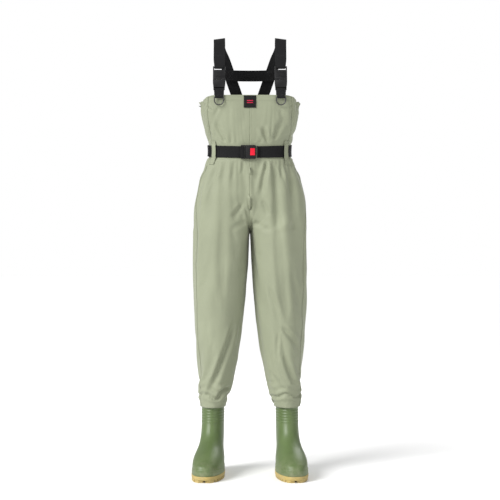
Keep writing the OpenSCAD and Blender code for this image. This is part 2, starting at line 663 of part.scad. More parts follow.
// Columns: height, share of the way from shaft to toe, share of the way from shaft to heel, half width.
foot_rows = [[0, 0.99, 0.7, 0.96], [0.06, 1, 1, 1], [0.13, 0.98, 1, 1], [0.18, 0.9, 0.95, 0.95],
    [0.235, 0.77, 0.7, 0.74], [0.29, 0.6, 0.35, 0.44], [0.345, 0.42, 0.2, 0.22], [0.41, 0.27, 0.15, 0.1],
    [0.49, 0.15, 0.1, 0.03], [0.58, 0.08, 0, 0], [0.7, 0.03, 0, -0.03], [0.85, 0, 0, 0], [1, 0, 0, 0]];
shaft_r = shaft_w / 2;
boot_points = 28;

// Outline of the boot at one row, drawn in by inset; the heel is narrower than the ball near the ground.
function boot_ring(row, z, inset) =
    let (toe = mix(shaft_d / 2, toe_reach, row[1]) - inset, heel = mix(shaft_d / 2, heel_reach, row[2]) - inset,
        half = mix(shaft_r, foot_w / 2, row[3]) - inset, mid = (heel - toe) / 2, long = (heel + toe) / 2,
        n = mix(2, 2.5, clamp(row[1], 0, 1)), narrow = 0.26 * ease(row[1]))
    [for (k = [0 : boot_points - 1]) let (a = 360 * (k + 0.5) / boot_points, r = rounded(a, n), c = cos(a) * r)
        [half * sin(a) * r * (1 - narrow * ease((0.35 - c) / 1.1)), mid - long * c, z]];
function boot_z(row) = mix(sole_top, boot_top, row[0]);

module at_boot() { translate([boot_x, axis_y, 0]) rotate([0, 0, toe_out]) children(); }

module boot_upper() {
    outer = [for (r = foot_rows) boot_ring(r, boot_z(r), 0)];
    inner = [for (i = [len(foot_rows) - 1 : -1 : 0]) let (r = foot_rows[i], sloping = r[0] > 0.1 && r[0] < 0.6)
        boot_ring(r, max(boot_z(r) - (sloping ? 2 : 0), sole_top + boot_wall), boot_wall)];
    color(boot_green) stack(concat(outer, inner));
}

module boot_outline(grow) {
    polygon([for (p = boot_ring(foot_rows[1], 0, -grow)) [p[0], p[1]]]);
}

module boot_outsole() {
    welt = 2.5;
    pitch = 22;
    bar = 14;
    groove = 7;
    shank = [-58, 4];
    color(gum) {
        translate([0, 0, tread]) linear_extrude(sole_top - 0.1 - tread) boot_outline(welt);
        for (side = [-1, 1], y = [-toe_reach + 4 : pitch : heel_reach])
            if (y + bar < shank[0] || y > shank[1]) intersection() {
                translate([side > 0 ? groove / 2 : -foot_w, y, 0]) cube([foot_w - groove / 2, bar, tread]);
                linear_extrude(tread) boot_outline(welt - 1);
            }
    }
}

module boot_insole() {
    color(insole_grey) translate([0, 0, sole_top + boot_wall + 0.3]) linear_extrude(insole_t)
        boot_outline(-boot_wall - 2.5);
}

// Weld between the leg's end and the boot's shaft.
module weld_band() {
    low = leg_end + 3;
    high = boot_top - 4;
    color(tape_grey) at_boot() hoop([for (r = [[low, 1.1], [high, 1.1], [high, 0.3], [low, 0.3]])
        boot_ring(foot_rows[len(foot_rows) - 1], r[0], -r[1])]);
}

front_panel();  // front_panel_left
right() front_panel();  // front_panel_right
back_panel();  // back_panel_left
right() back_panel();  // back_panel_right
centre_seam_tape();
side_seam_tape();  // side_seam_tape_left
right() side_seam_tape();  // side_seam_tape_right
inseam_tape();  // inseam_tape_left
right() inseam_tape();  // inseam_tape_right
side_elastic();  // side_elastic_left
right() side_elastic();  // side_elastic_right
front_hem_facing();
label_patch();
label_mark();
back_anchor_patch();
cross_strap();
strap_back();  // strap_back_left
right() strap_back();  // strap_back_right
strap_front();  // strap_front_left
right() strap_front();  // strap_front_right
at_shoulder() male();  // buckle_male_left
right() at_shoulder() male();  // buckle_male_right
at_shoulder() latch(1);  // latch_outer_left
at_shoulder() latch(-1);  // latch_inner_left
right() at_shoulder() latch(1);  // latch_outer_right
right() at_shoulder() latch(-1);  // latch_inner_right
at_shoulder() female();  // buckle_female_left
right() at_shoulder() female();  // buckle_female_right
anchor_webbing();  // anchor_webbing_left
right() anchor_webbing();  // anchor_webbing_right
ring_keeper();  // ring_keeper_left
right() ring_keeper();  // ring_keeper_right
d_ring();  // d_ring_left
right() d_ring();  // d_ring_right
belt_webbing();
belt_left_run();
belt_socket_front();
belt_socket_back();
belt_tongue();
belt_tongue_webbing();
belt_button();
belt_button_spring();
belt_tail();
belt_loop(front_loop_angle, loop_stand_off);  // belt_loop_front_left
right() belt_loop(front_loop_angle, loop_stand_off);  // belt_loop_front_right
belt_loop(back_loop_angle, loop_stand_off);  // belt_loop_back_left
right() belt_loop(back_loop_angle, loop_stand_off);  // belt_loop_back_right
weld_band();  // weld_band_left
right() weld_band();  // weld_band_right
at_boot() boot_upper();  // boot_upper_left
right() at_boot() boot_upper();  // boot_upper_right
at_boot() boot_outsole();  // boot_outsole_left
right() at_boot() boot_outsole();  // boot_outsole_right
at_boot() boot_insole();  // boot_insole_left
right() at_boot() boot_insole();  // boot_insole_right
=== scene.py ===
"""Chest waders: fabric bib and legs with creases, webbing straps, moulded buckles, a waist belt and boots.

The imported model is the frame. Each operator below makes one piece or one group of like pieces in place.
"""

import math

import bmesh
import bpy
import numpy as np
from mathutils import Matrix, Vector


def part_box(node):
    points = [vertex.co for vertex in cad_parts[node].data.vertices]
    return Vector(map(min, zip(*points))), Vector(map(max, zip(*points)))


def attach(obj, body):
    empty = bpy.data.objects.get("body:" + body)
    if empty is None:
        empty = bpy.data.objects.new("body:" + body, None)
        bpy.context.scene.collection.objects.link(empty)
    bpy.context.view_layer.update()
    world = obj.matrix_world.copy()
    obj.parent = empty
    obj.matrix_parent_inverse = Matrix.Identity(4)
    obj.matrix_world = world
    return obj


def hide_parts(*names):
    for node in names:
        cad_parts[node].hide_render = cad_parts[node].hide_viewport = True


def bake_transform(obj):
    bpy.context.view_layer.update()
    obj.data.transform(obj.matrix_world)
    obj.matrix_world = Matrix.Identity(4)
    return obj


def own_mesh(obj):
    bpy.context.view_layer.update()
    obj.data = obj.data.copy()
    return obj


bl_info = {
    "name": "Chest Waders",
    "version": (1, 0, 0),
    "blender": (4, 5, 0),
    "location": "3D Viewport > Sidebar > Waders",
    "description": "Builds the looks of a pair of chest waders around their packed CAD model",
    "category": "Object",
}

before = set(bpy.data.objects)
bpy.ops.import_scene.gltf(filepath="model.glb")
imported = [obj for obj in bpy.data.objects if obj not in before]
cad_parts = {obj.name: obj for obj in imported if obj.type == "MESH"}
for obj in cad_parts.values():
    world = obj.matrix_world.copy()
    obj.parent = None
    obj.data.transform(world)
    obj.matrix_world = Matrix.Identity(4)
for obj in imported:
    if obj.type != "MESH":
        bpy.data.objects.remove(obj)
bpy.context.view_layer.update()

# ---- Sizes of the part, in millimetres ----

MM = 0.001
weld_low, weld_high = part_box("weld_band_left")
_, label_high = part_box("label_patch")
BOOT_X = (weld_low.x + weld_high.x) / 2 / MM
AXIS_Y = (weld_low.y + weld_high.y) / 2 / MM
BIB_TOP = label_high.z / MM + 2
SIDE_TOP = BIB_TOP - 17
BACK_TOP = BIB_TOP - 27
BELT_Z = 1069.0
CROTCH = 797.0
LEG_END = 220.0
BELT_W, BELT_T, BELT_DIP, BELT_GAP = 38.0, 2.2, 12.0, 1.1
BELT_LOW, BELT_HIGH = BELT_Z - BELT_W / 2 - 4, BELT_Z + BELT_W / 2 + 4
RISE_TOP = (CROTCH + BELT_Z) / 2
CHEST = (318.0, 105.0, 105.0, 4.0)
WAIST = (274.0, 100.0, 98.0, 2.4)
HIP = (380.0, 119.0, 131.0, 3.0)
SHAFT = (74.0, 110.0)
ANKLE = (SHAFT[0] + 10, SHAFT[1] + 11)
LOOP_W, LOOP_OVER, LOOP_FRONT_X, LOOP_BACK_X = 22.0, 16.0, 112.0, 70.0
STRAP_W, STRAP_T, STRAP_X, LEAN, SHOULDER_R, STRAP_RISE = 38.0, 2.2, 101.0, 20.0, 30.0, 198.0
FEMALE_L, MALE_L, BAR_R = 33.0, 51.0, 2.4
TAPE_T, TAPE_IN = 0.3, -1.45
MIDDLE_LAP, SIDE_LAP = 0.6, 1.0
TAIL_X = 27.5
ANCHOR_W, ANCHOR_T, RING_LOOP_T = 32.0, 1.6, 1.5
CLEAT, CLEAT_PITCH, ARCH = 12.0, 17.5, (-62, 2)
FIRST_RIB, RIB_PITCH = 171, 9
SIDES = ((1, "left"), (-1, "right"))
BOOT_TOP, SOLE_TOP, TREAD = 245.0, 20.0, 8.0
TOE_REACH, HEEL_REACH, FOOT_W, TOE_OUT = 223.0, 61.0, 102.0, 6.0


def mix(a, b, t):
    return a + (b - a) * t


def ease(t):
    t = np.clip(t, 0.0, 1.0)
    return t * t * (3 - 2 * t)


def read_table(table, z, k):
    """Column k of a table of rising rows, read smoothly at the heights z."""
    rows, col = table[:, 0], table[:, k]
    z = np.asarray(z, float)
    last = len(rows) - 1
    j = np.clip(np.searchsorted(rows, z, side="right") - 1, 0, last - 1)
    low, high = np.maximum(np.arange(last + 1) - 1, 0), np.minimum(np.arange(last + 1) + 1, last)
    slope = (col[high] - col[low]) / (rows[high] - rows[low])
    h = rows[j + 1] - rows[j]
    t = np.clip((z - rows[j]) / h, 0, 1)
    return ((2 * t**3 - 3 * t**2 + 1) * col[j] + (t**3 - 2 * t**2 + t) * h * slope[j]
            + (3 * t**2 - 2 * t**3) * col[j + 1] + (t**3 - t**2) * h * slope[j + 1])


def garment_tables():
    """Outlines of the torso and of the left leg, as the part's source gives them."""
    def between(a, b, share, square):
        return [mix(a[0], b[0], share) / 2, mix(a[1], b[1], share), mix(a[2], b[2], share), square]
    hips = ((0, 1), (0.2, 0.96), (0.4, 0.88), (0.58, 0.74), (0.77, 0.53), (0.9, 0.28))
    torso = [[mix(CROTCH, BELT_LOW, up)] + between(WAIST, HIP, out, mix(2.4, 3.0, out)) for up, out in hips]
    torso += [[z] + between(WAIST, WAIST, 0, 2.4) for z in (BELT_LOW, BELT_HIGH)]
    torso += [[mix(BELT_HIGH, BIB_TOP, up)] + between(WAIST, CHEST, out, mix(2.4, 4.0, out))
              for up, out in ((0.35, 0.5), (0.7, 0.95), (1, 0.97))]
    shares = ((0, 0, 0, 0.13), (0.05, 0.02, 0.05, 0.14), (0.27, 0.1, 0.16, 0.24), (0.5, 0.22, 0.32, 0.42),
              (0.73, 0.54, 0.57, 0.64), (0.88, 0.8, 0.8, 0.86), (1, 1, 1, 1))
    leg = [[mix(CROTCH, LEG_END, down), mix(HIP[0] / 2, BOOT_X + ANKLE[0] / 2, out),
            mix(0.2, BOOT_X - ANKLE[0] / 2, inner), mix(HIP[1], ANKLE[1] / 2, deep),
            mix(HIP[2], ANKLE[1] / 2 + 1, deep)] for down, out, inner, deep in reversed(shares)]
    return np.array(torso), np.array(leg)


TORSO, LEG = garment_tables()


def rounded(angle, n):
    """Radius of a unit superellipse of squareness n at an angle in radians."""
    return (np.abs(np.cos(angle)) ** n + np.abs(np.sin(angle)) ** n) ** (-1 / n)


def side_seam(z):
    """Angle of the side seam, in degrees from the front middle."""
    return np.where(z < RISE_TOP, 75.0, mix(75.0, 46.0, ease((z - RISE_TOP) / (BIB_TOP - RISE_TOP))))


def body(z, phi, inset=0.0):
    """Points of the left half of the garment in millimetres; phi runs from 0 in front to 180 behind."""
    z, phi = np.broadcast_arrays(np.asarray(z, float), np.asarray(phi, float))
    p = np.radians(phi)
    r = rounded(p, read_table(TORSO, z, 4))
    depth = np.where(np.cos(p) > 0, read_table(TORSO, z, 2), read_table(TORSO, z, 3))
    torso_x = (read_table(TORSO, z, 1) - inset) * np.sin(p) * r
    torso_y = -(depth - inset) * np.cos(p) * r
    psi = 2 * p - math.pi / 2
    outer, inner = read_table(LEG, z, 1), read_table(LEG, z, 2)
    deep = np.where(np.cos(psi) > 0, read_table(LEG, z, 3), read_table(LEG, z, 4))
    leg_x = (outer + inner) / 2 + ((outer - inner) / 2 - inset) * np.sin(psi)
    leg_y = -(deep - inset) * np.cos(psi)
    t = np.clip((RISE_TOP - z) / (RISE_TOP - CROTCH), 0, 1)
    w = mix(ease(t), t * t, np.cos(p) ** 6)
    edge = np.where(phi < 90, mix(BIB_TOP, SIDE_TOP, ease((phi - 38) / 30)),
                    mix(SIDE_TOP, BACK_TOP, ease((phi - 110) / 40)))
    raised = np.where(z > BELT_HIGH, mix(BELT_HIGH, edge, (z - BELT_HIGH) / (BIB_TOP - BELT_HIGH)), z)
    near = 1 - ease((np.abs(raised - BELT_Z) - BELT_W) / (BIB_TOP - BELT_Z - BELT_W))
    tall = raised - BELT_DIP * np.cos(p) * near * (raised > RISE_TOP)
    return np.stack([mix(torso_x, leg_x, w), AXIS_Y + mix(torso_y, leg_y, w), tall], axis=-1)


def normals_of(points):
    """Outward normals of a grid of points whose columns turn from front to back on the left side."""
    across, along = np.gradient(points, axis=1), np.gradient(points, axis=0)
    n = np.cross(across, along)
    return n / np.maximum(np.linalg.norm(n, axis=-1, keepdims=True), 1e-9)


# ---- Mesh helpers ----

def link(obj):
    bpy.context.scene.collection.objects.link(obj)
    return obj


def new_piece(name, mesh, body_name, materials, stands_for=()):
    """Links a mesh as a piece that rides on a body and stands for its CAD nodes; materials go by name."""
    piece = link(bpy.data.objects.new(name, mesh))
    for plain_name in materials:
        piece.data.materials.append(material(plain_name))
    if body_name:
        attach(piece, body_name)
    if stands_for:
        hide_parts(*stands_for)
    return piece


def finish_mesh(bm, name, smooth=True, recalc=False):
    """Writes a bmesh to a new mesh."""
    if recalc:
        bmesh.ops.recalc_face_normals(bm, faces=bm.faces)
    for f in bm.faces:
        f.smooth = smooth
    mesh = bpy.data.meshes.new(name)
    bm.to_mesh(mesh)
    bm.free()
    return mesh


def sheet_mesh(name, points, flip=False, closed=False, uv_start=(0.0, 0.0)):
    """Grid through points[row][column] in metres, with UVs that measure the cloth in metres."""
    rows, cols = points.shape[:2]
    bm = bmesh.new()
    verts = bmesh.ops.create_grid(bm, x_segments=cols - 1, y_segments=rows - 1, size=1)["verts"]
    mid_r, mid_c = rows // 2, cols // 2
    u = np.concatenate([[0], np.cumsum(np.linalg.norm(np.diff(points[mid_r], axis=0), axis=1))])
    v = np.concatenate([[0], np.cumsum(np.linalg.norm(np.diff(points[:, mid_c], axis=0), axis=1))])
    place = {}
    for vert in verts:
        c = round((vert.co.x + 1) / 2 * (cols - 1))
        r = round((vert.co.y + 1) / 2 * (rows - 1))
        place[vert.index] = (r, c)
        vert.co = points[r, c]
    uv = bm.loops.layers.uv.new("cloth")
    for face in bm.faces:
        for loop in face.loops:
            r, c = place[loop.vert.index]
            loop[uv].uv = (u[c] + uv_start[0], v[r] + uv_start[1])
    if closed:
        bmesh.ops.remove_doubles(bm, verts=bm.verts, dist=1e-5)
    if flip:
        bmesh.ops.reverse_faces(bm, faces=bm.faces)
    return finish_mesh(bm, name)


def thicken(piece, thickness, offset=-1.0, rim=True, inside=0):
    """Gives a sheet its thickness in millimetres; offset -1 is inwards."""
    m = piece.modifiers.new("Thickness", "SOLIDIFY")
    m.thickness, m.offset, m.use_rim, m.use_even_offset = thickness * MM, offset, rim, True
    m.thickness_clamp = 0.0
    m.material_offset = inside
    return m


def round_edges(piece, width, segments=2, angle=40):
    """Bevels the edges sharper than an angle in degrees; the width is in millimetres."""
    m = piece.modifiers.new("Rounded edges", "BEVEL")
    m.width, m.segments, m.profile, m.material = width * MM, segments, 0.5, -1
    m.limit_method, m.angle_limit = "ANGLE", math.radians(angle)
    m.harden_normals = True
    return m


def refined(node, name, bevel, mat, body_name, segments=3, angle=28):
    """Merged copy of a CAD node with rounded edges, which stands for it."""
    bm = bmesh.new()
    bm.from_mesh(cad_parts[node].data)
    bmesh.ops.remove_doubles(bm, verts=bm.verts, dist=2e-6)
    bmesh.ops.dissolve_limit(bm, angle_limit=math.radians(1.0), verts=bm.verts, edges=bm.edges)
    mesh = finish_mesh(bm, name)
    piece = new_piece(name, mesh, body_name, [mat], (node,))
    if bevel:
        round_edges(piece, bevel, segments, angle)
    return piece


def path_points(stations, per=6):
    """Smooth path through stations (middle, width direction, face, width), finely cut between them."""
    m, w, f = (np.array([s[i] for s in stations], float) for i in (0, 1, 2))
    wide = np.array([s[3] for s in stations], float)
    out = []
    last = len(stations) - 1
    gaps = np.maximum(np.linalg.norm(np.diff(m, axis=0), axis=1), 1e-6)
    slopes = np.diff(m, axis=0) / gaps[:, None]
    tangent = np.concatenate([slopes[:1], (slopes[:-1] * gaps[1:, None] + slopes[1:] * gaps[:-1, None])
                              / (gaps[1:] + gaps[:-1])[:, None], slopes[-1:]])
    for i in range(last):
        steps = per if i < last - 1 else per + 1
        for k in range(steps):
            t = k / per
            a, b = tangent[i] * gaps[i], tangent[i + 1] * gaps[i]
            c = ((2 * t**3 - 3 * t * t + 1) * m[i] + (t**3 - 2 * t * t + t) * a
                 + (3 * t * t - 2 * t**3) * m[i + 1]
                 + (t**3 - t * t) * b)
            way, face = mix(w[i], w[i + 1], t), mix(f[i], f[i + 1], t)
            out.append((c, way / np.linalg.norm(way), face / np.linalg.norm(face),
                        mix(wide[i], wide[i + 1], t)))
    return out


def strap_grid(path, across=8, crown=0.0):
    """Grid of points in metres along a strap's path, a little crowned across its width."""
    u = np.linspace(-1, 1, across + 1)
    return np.array([[(c + w * wide / 2 * k + f * crown * (1 - k * k)) * MM for k in u]
                     for c, w, f, wide in path])


def strap_piece(name, path, thickness, body_name, mat, stands_for=(), across=8, crown=0.0):
    """Strap of webbing along a path, as wide as the path says."""
    points = strap_grid(path, across, crown)
    n = np.cross(points[0, -1] - points[0, 0], points[1, 0] - points[0, 0])
    mesh = sheet_mesh(name, points, flip=float(np.dot(n, path[0][2])) < 0)
    piece = new_piece(name, mesh, body_name, [mat], stands_for)
    thicken(piece, thickness, offset=0.0)
    round_edges(piece, min(0.5, thickness * 0.3), 2, 50)
    return piece


def add_stitch(bm, at, along, up, length=2.6, width=0.55):
    """One short thread that lies on a surface."""
    x = Vector(along).normalized()
    z = Vector(up).normalized()
    y = z.cross(x).normalized()
    z = x.cross(y)
    turn = Matrix((x, y, z)).transposed().to_4x4()
    size = Matrix.Diagonal((length / 2 * MM, width / 2 * MM, width / 2 * MM, 1))
    bmesh.ops.create_uvsphere(bm, u_segments=6, v_segments=4, radius=1,
                              matrix=Matrix.Translation(Vector(at)) @ turn @ size
                              @ Matrix.Rotation(math.pi / 2, 4, "Y"))


def stitch_line(bm, points, ups, pitch=3.4, length=2.5, lift=0.15, width=0.55):
    """Stitches along a line of points in metres."""
    points, ups = np.asarray(points, float), np.asarray(ups, float)
    run = np.concatenate([[0], np.cumsum(np.linalg.norm(np.diff(points, axis=0), axis=1))])
    for s in np.arange(pitch * MM / 2, run[-1], pitch * MM):
        at = np.array([np.interp(s, run, points[:, k]) for k in range(3)])
        ahead = np.array([np.interp(min(s + 1e-3, run[-1]), run, points[:, k]) for k in range(3)])
        back = np.array([np.interp(max(s - 1e-3, 0), run, points[:, k]) for k in range(3)])
        up = np.array([np.interp(s, run, ups[:, k]) for k in range(3)])
        add_stitch(bm, at + up * lift * MM, ahead - back, up, length, width)


def box_stitch(bm, centre, right, upward, out, wide, high, cross=True):
    """A sewn rectangle with a cross in it, all in millimetres."""
    c, r, u, o = (np.array(v, float) for v in (centre, right, upward, out))
    places = ((-1, -1), (1, -1), (1, 1), (-1, 1), (-1, -1))
    corners = [c + r * wide / 2 * a + u * high / 2 * b for a, b in places]
    lines = [corners[i:i + 2] for i in range(4)]
    if cross:
        lines += [[corners[0], corners[2]], [corners[1], corners[3]]]
    for line in lines:
        stitch_line(bm, np.array(line) * MM, [o, o])


def thread_piece(name, bm, body_name, mat):
    return new_piece(name, finish_mesh(bm, name), body_name, [mat], ())


def beveled_box(bm, low, high, width=0.4, segments=2):
    """Block between two corners in millimetres, with rounded edges."""
    low, high = np.array(low, float), np.array(high, float)
    made = bmesh.ops.create_cube(bm, size=1)["verts"]
    for v in made:
        v.co = Vector((low + (np.array(v.co) + 0.5) * (high - low)) * MM)
    edges = list({e for v in made for e in v.link_edges})
    bmesh.ops.bevel(bm, geom=edges, offset=width * MM, segments=segments, profile=0.5, affect="EDGES",
                    material=-1)


# ---- Shader node groups ----

def make_group(name, inputs, outputs):
    """Empty node group with its sockets; inputs and outputs are (name, type, default)."""
    tree = bpy.data.node_groups.new(name, "ShaderNodeTree")
    for label, kind, value in inputs:
        s = tree.interface.new_socket(label, in_out="INPUT", socket_type=kind)
        if value is not None:
            s.default_value = value
    for label, kind in outputs:
        tree.interface.new_socket(label, in_out="OUTPUT", socket_type=kind)
    return tree, tree.nodes.new("NodeGroupInput"), tree.nodes.new("NodeGroupOutput")


def add(tree, kind, settings=None, **inputs):
    """New node with settings; each input is a value or a socket to link."""
    n = tree.nodes.new("ShaderNode" + kind)
    for k, v in (settings or {}).items():
        setattr(n, k, v)
    for k, v in inputs.items():
        key = int(k[1:]) if k[0] == "_" else k.replace("_", " ")
        if isinstance(v, bpy.types.NodeSocket):
            tree.links.new(v, n.inputs[key])
        else:
            n.inputs[key].default_value = v
    return n


def maths(tree, operation, a, b=None, clamp=False):
    n = add(tree, "Math", {"operation": operation, "use_clamp": clamp}, _0=a)
    if isinstance(b, bpy.types.NodeSocket):
        tree.links.new(b, n.inputs[1])
    elif b is not None:
        n.inputs[1].default_value = b
    return n.outputs[0]


def times(tree, a, b, clamp=False):
    return maths(tree, "MULTIPLY", a, b, clamp)


def plus(tree, a, b, clamp=False):
    return maths(tree, "ADD", a, b, clamp)


def left_over(tree, value):
    return maths(tree, "SUBTRACT", 1.0, value)


def ramp(tree, value, low, high):
    """Value between low and high, stretched to 0 and 1 with soft ends."""
    n = add(tree, "MapRange", {"interpolation_type": "SMOOTHSTEP"}, Value=value)
    n.inputs["From Min"].default_value, n.inputs["From Max"].default_value = low, high
    return n.outputs[0]


def blend_colours(tree, factor, a, b):
    n = tree.nodes.new("ShaderNodeMix")
    n.data_type = "RGBA"
    for socket, v in ((n.inputs[0], factor), (n.inputs[6], a), (n.inputs[7], b)):
        if isinstance(v, bpy.types.NodeSocket):
            tree.links.new(v, socket)
        else:
            socket.default_value = v
    return n.outputs[2]


def weave_group():
    """Over and under threads: height of the cloth and how deep a point lies between threads."""
    tree, gin, gout = make_group("Weave",
                                 [("Vector", "NodeSocketVector", None),
                                  ("Threads", "NodeSocketFloat", 1500.0),
                                           ("Ribbing", "NodeSocketFloat", 1.0)],
                                 [("Height", "NodeSocketFloat"), ("Shade", "NodeSocketFloat")])
    xyz = add(tree, "SeparateXYZ", _0=gin.outputs["Vector"])
    u = times(tree, xyz.outputs[0], gin.outputs["Threads"])
    v = times(tree, times(tree, xyz.outputs[1], gin.outputs["Threads"]), gin.outputs["Ribbing"])
    su, sv = (maths(tree, "SINE", times(tree, s, math.pi)) for s in (u, v))
    over = maths(tree, "GREATER_THAN", times(tree, su, sv), 0.0)
    hu, hv = maths(tree, "ABSOLUTE", su), maths(tree, "ABSOLUTE", sv)
    warp = times(tree, over, hu)
    weft = times(tree, left_over(tree, over), hv)
    height = plus(tree, warp, weft)
    tree.links.new(height, gout.inputs["Height"])
    tree.links.new(ramp(tree, height, 0.0, 0.7), gout.inputs["Shade"])
    return tree


def tone_group():
    """Soft cloudy mottling with finer flecks, both from 0 to 1."""
    tree, gin, gout = make_group("Mottle",
                                 [("Vector", "NodeSocketVector", None), ("Patch", "NodeSocketFloat", 9.0),
                                            ("Fleck", "NodeSocketFloat", 320.0)],
                                 [("Cloud", "NodeSocketFloat"), ("Grain", "NodeSocketFloat")])
    cloud = add(tree, "TexNoise", Vector=gin.outputs["Vector"], Scale=gin.outputs["Patch"], Detail=4.0,
                Roughness=0.55)
    fleck = add(tree, "TexNoise", Vector=gin.outputs["Vector"], Scale=gin.outputs["Fleck"], Detail=2.0,
                Roughness=0.6)
    tree.links.new(ramp(tree, cloud.outputs[0], 0.3, 0.7), gout.inputs["Cloud"])
    tree.links.new(ramp(tree, fleck.outputs[0], 0.3, 0.7), gout.inputs["Grain"])
    return tree


def wear_group():
    """Fine scuffs and rubbed patches: a mask, and a height for shallow scratches."""
    tree, gin, gout = make_group("Scuffs",
                                 [("Vector", "NodeSocketVector", None), ("Size", "NodeSocketFloat", 30.0),
                                            ("Amount", "NodeSocketFloat", 0.5)],
                                 [("Mask", "NodeSocketFloat"), ("Height", "NodeSocketFloat")])
    stretch = add(tree, "Mapping", Vector=gin.outputs["Vector"])
    give(stretch, Rotation=(0.3, 0.5, 0.7), Scale=(1.0, 7.0, 1.6))
    lines = add(tree, "TexNoise", Vector=stretch.outputs[0], Scale=gin.outputs["Size"], Detail=5.0,
                Roughness=0.7)
    patch = add(tree, "TexNoise", Vector=gin.outputs["Vector"], Scale=times(tree, gin.outputs["Size"], 0.6),
                Detail=3.0)
    mask = times(tree, ramp(tree, lines.outputs[0], 0.56, 0.72), ramp(tree, patch.outputs[0], 0.45, 0.65))
    tree.links.new(times(tree, mask, gin.outputs["Amount"], clamp=True), gout.inputs["Mask"])
    tree.links.new(lines.outputs[0], gout.inputs["Height"])
    return tree


def dust_group():
    """Dust and splashes that thin out upwards from the ground."""
    tree, gin, gout = make_group("Dust",
                                 [("Vector", "NodeSocketVector", None), ("Reach", "NodeSocketFloat", 0.06)],
                                 [("Mask", "NodeSocketFloat")])
    z = add(tree, "SeparateXYZ", _0=gin.outputs["Vector"]).outputs[2]
    low = maths(tree, "SUBTRACT", 1.0, maths(tree, "DIVIDE", z, gin.outputs["Reach"]), clamp=True)
    spots = add(tree, "TexNoise", Vector=gin.outputs["Vector"], Scale=55.0, Detail=6.0, Roughness=0.7)
    tree.links.new(times(tree, low, ramp(tree, spots.outputs[0], 0.35, 0.75)), gout.inputs["Mask"])
    return tree


def place_group(tree, group, **inputs):
    n = tree.nodes.new("ShaderNodeGroup")
    n.node_tree = bpy.data.node_groups[group]
    for k, v in inputs.items():
        if isinstance(v, bpy.types.NodeSocket):
            tree.links.new(v, n.inputs[k])
        else:
            n.inputs[k].default_value = v
    return n.outputs


def tinted(colour, factor):
    return tuple(min(1.0, c * factor) for c in colour[:3]) + (1.0,)


def start_material(name, uses_uv):
    """New material, with its coordinates: the object's, and the cloth's own where it has them."""
    m = bpy.data.materials.new(name)
    m.use_nodes = True
    tree = m.node_tree
    shader = tree.nodes["Principled BSDF"]
    coords = add(tree, "TexCoord")
    if uses_uv:
        where = add(tree, "UVMap", {"uv_map": "cloth"}).outputs[0]
    else:
        where = coords.outputs["Object"]
    return m, tree, shader, coords.outputs["Object"], where


def feed(tree, shader, name, source):
    tree.links.new(source, shader.inputs[name])


def give(node, **values):
    """Sets inputs of a node by their names, with underscores for spaces."""
    for name, value in values.items():
        node.inputs[name.replace("_", " ")].default_value = value


def bump_into(tree, shader, height, strength, distance, under=None):
    n = add(tree, "Bump", Height=height, Strength=strength, Distance=distance)
    if under is not None:
        tree.links.new(under, n.inputs["Normal"])
    tree.links.new(n.outputs[0], shader.inputs["Normal"])
    return n.outputs[0]


def coated_fabric(name, colour, lining=False):
    """Coated woven cloth: fine threads, soft mottling, small handling creases and a little sheen."""
    m, tree, shader, where, cloth = start_material(name, True)
    tone = place_group(tree, "Mottle", Vector=where, Patch=7.0, Fleck=420.0)
    weave = place_group(tree, "Weave", Vector=cloth, Threads=1700.0, Ribbing=1.0)
    base = blend_colours(tree, tone["Cloud"], tinted(colour, 0.955), tinted(colour, 1.04))
    base = blend_colours(tree, times(tree, tone["Grain"], 0.12), base, tinted(colour, 0.80))
    base = blend_colours(tree, times(tree, left_over(tree, weave["Shade"]), 0.22), base,
                         tinted(colour, 0.62))
    feed(tree, shader, "Base Color", base)
    rough = plus(tree, times(tree, tone["Grain"], 0.10), 0.62 if not lining else 0.5)
    feed(tree, shader, "Roughness", rough)
    give(shader, Specular_IOR_Level=0.32, Sheen_Weight=0.12, Sheen_Roughness=0.5)
    crinkle = add(tree, "TexNoise", Vector=where, Scale=60.0, Detail=4.0, Roughness=0.6, Distortion=0.6)
    first = add(tree, "Bump", Height=crinkle.outputs[0], Strength=0.16, Distance=0.0016)
    bump_into(tree, shader, weave["Height"], 0.22, 0.00012, first.outputs[0])
    return m


def webbing_cloth(name, colour, threads=700.0, ribbing=0.42):
    """Heavy ribbed webbing."""
    m, tree, shader, where, cloth = start_material(name, True)
    tone = place_group(tree, "Mottle", Vector=where, Patch=30.0, Fleck=900.0)
    weave = place_group(tree, "Weave", Vector=cloth, Threads=threads, Ribbing=ribbing)
    base = blend_colours(tree, tone["Grain"], tinted(colour, 0.75), tinted(colour, 1.5))
    base = blend_colours(tree, times(tree, left_over(tree, weave["Shade"]), 0.55), base,
                         tinted(colour, 0.3))
    base = blend_colours(tree, times(tree, tone["Cloud"], 0.2), base, tinted(colour, 2.0))
    feed(tree, shader, "Base Color", base)
    feed(tree, shader, "Roughness", plus(tree, times(tree, tone["Grain"], 0.12), 0.68))
    give(shader, Specular_IOR_Level=0.16, Sheen_Weight=0.02)
    bump_into(tree, shader, weave["Height"], 0.75, 0.0004)
    return m


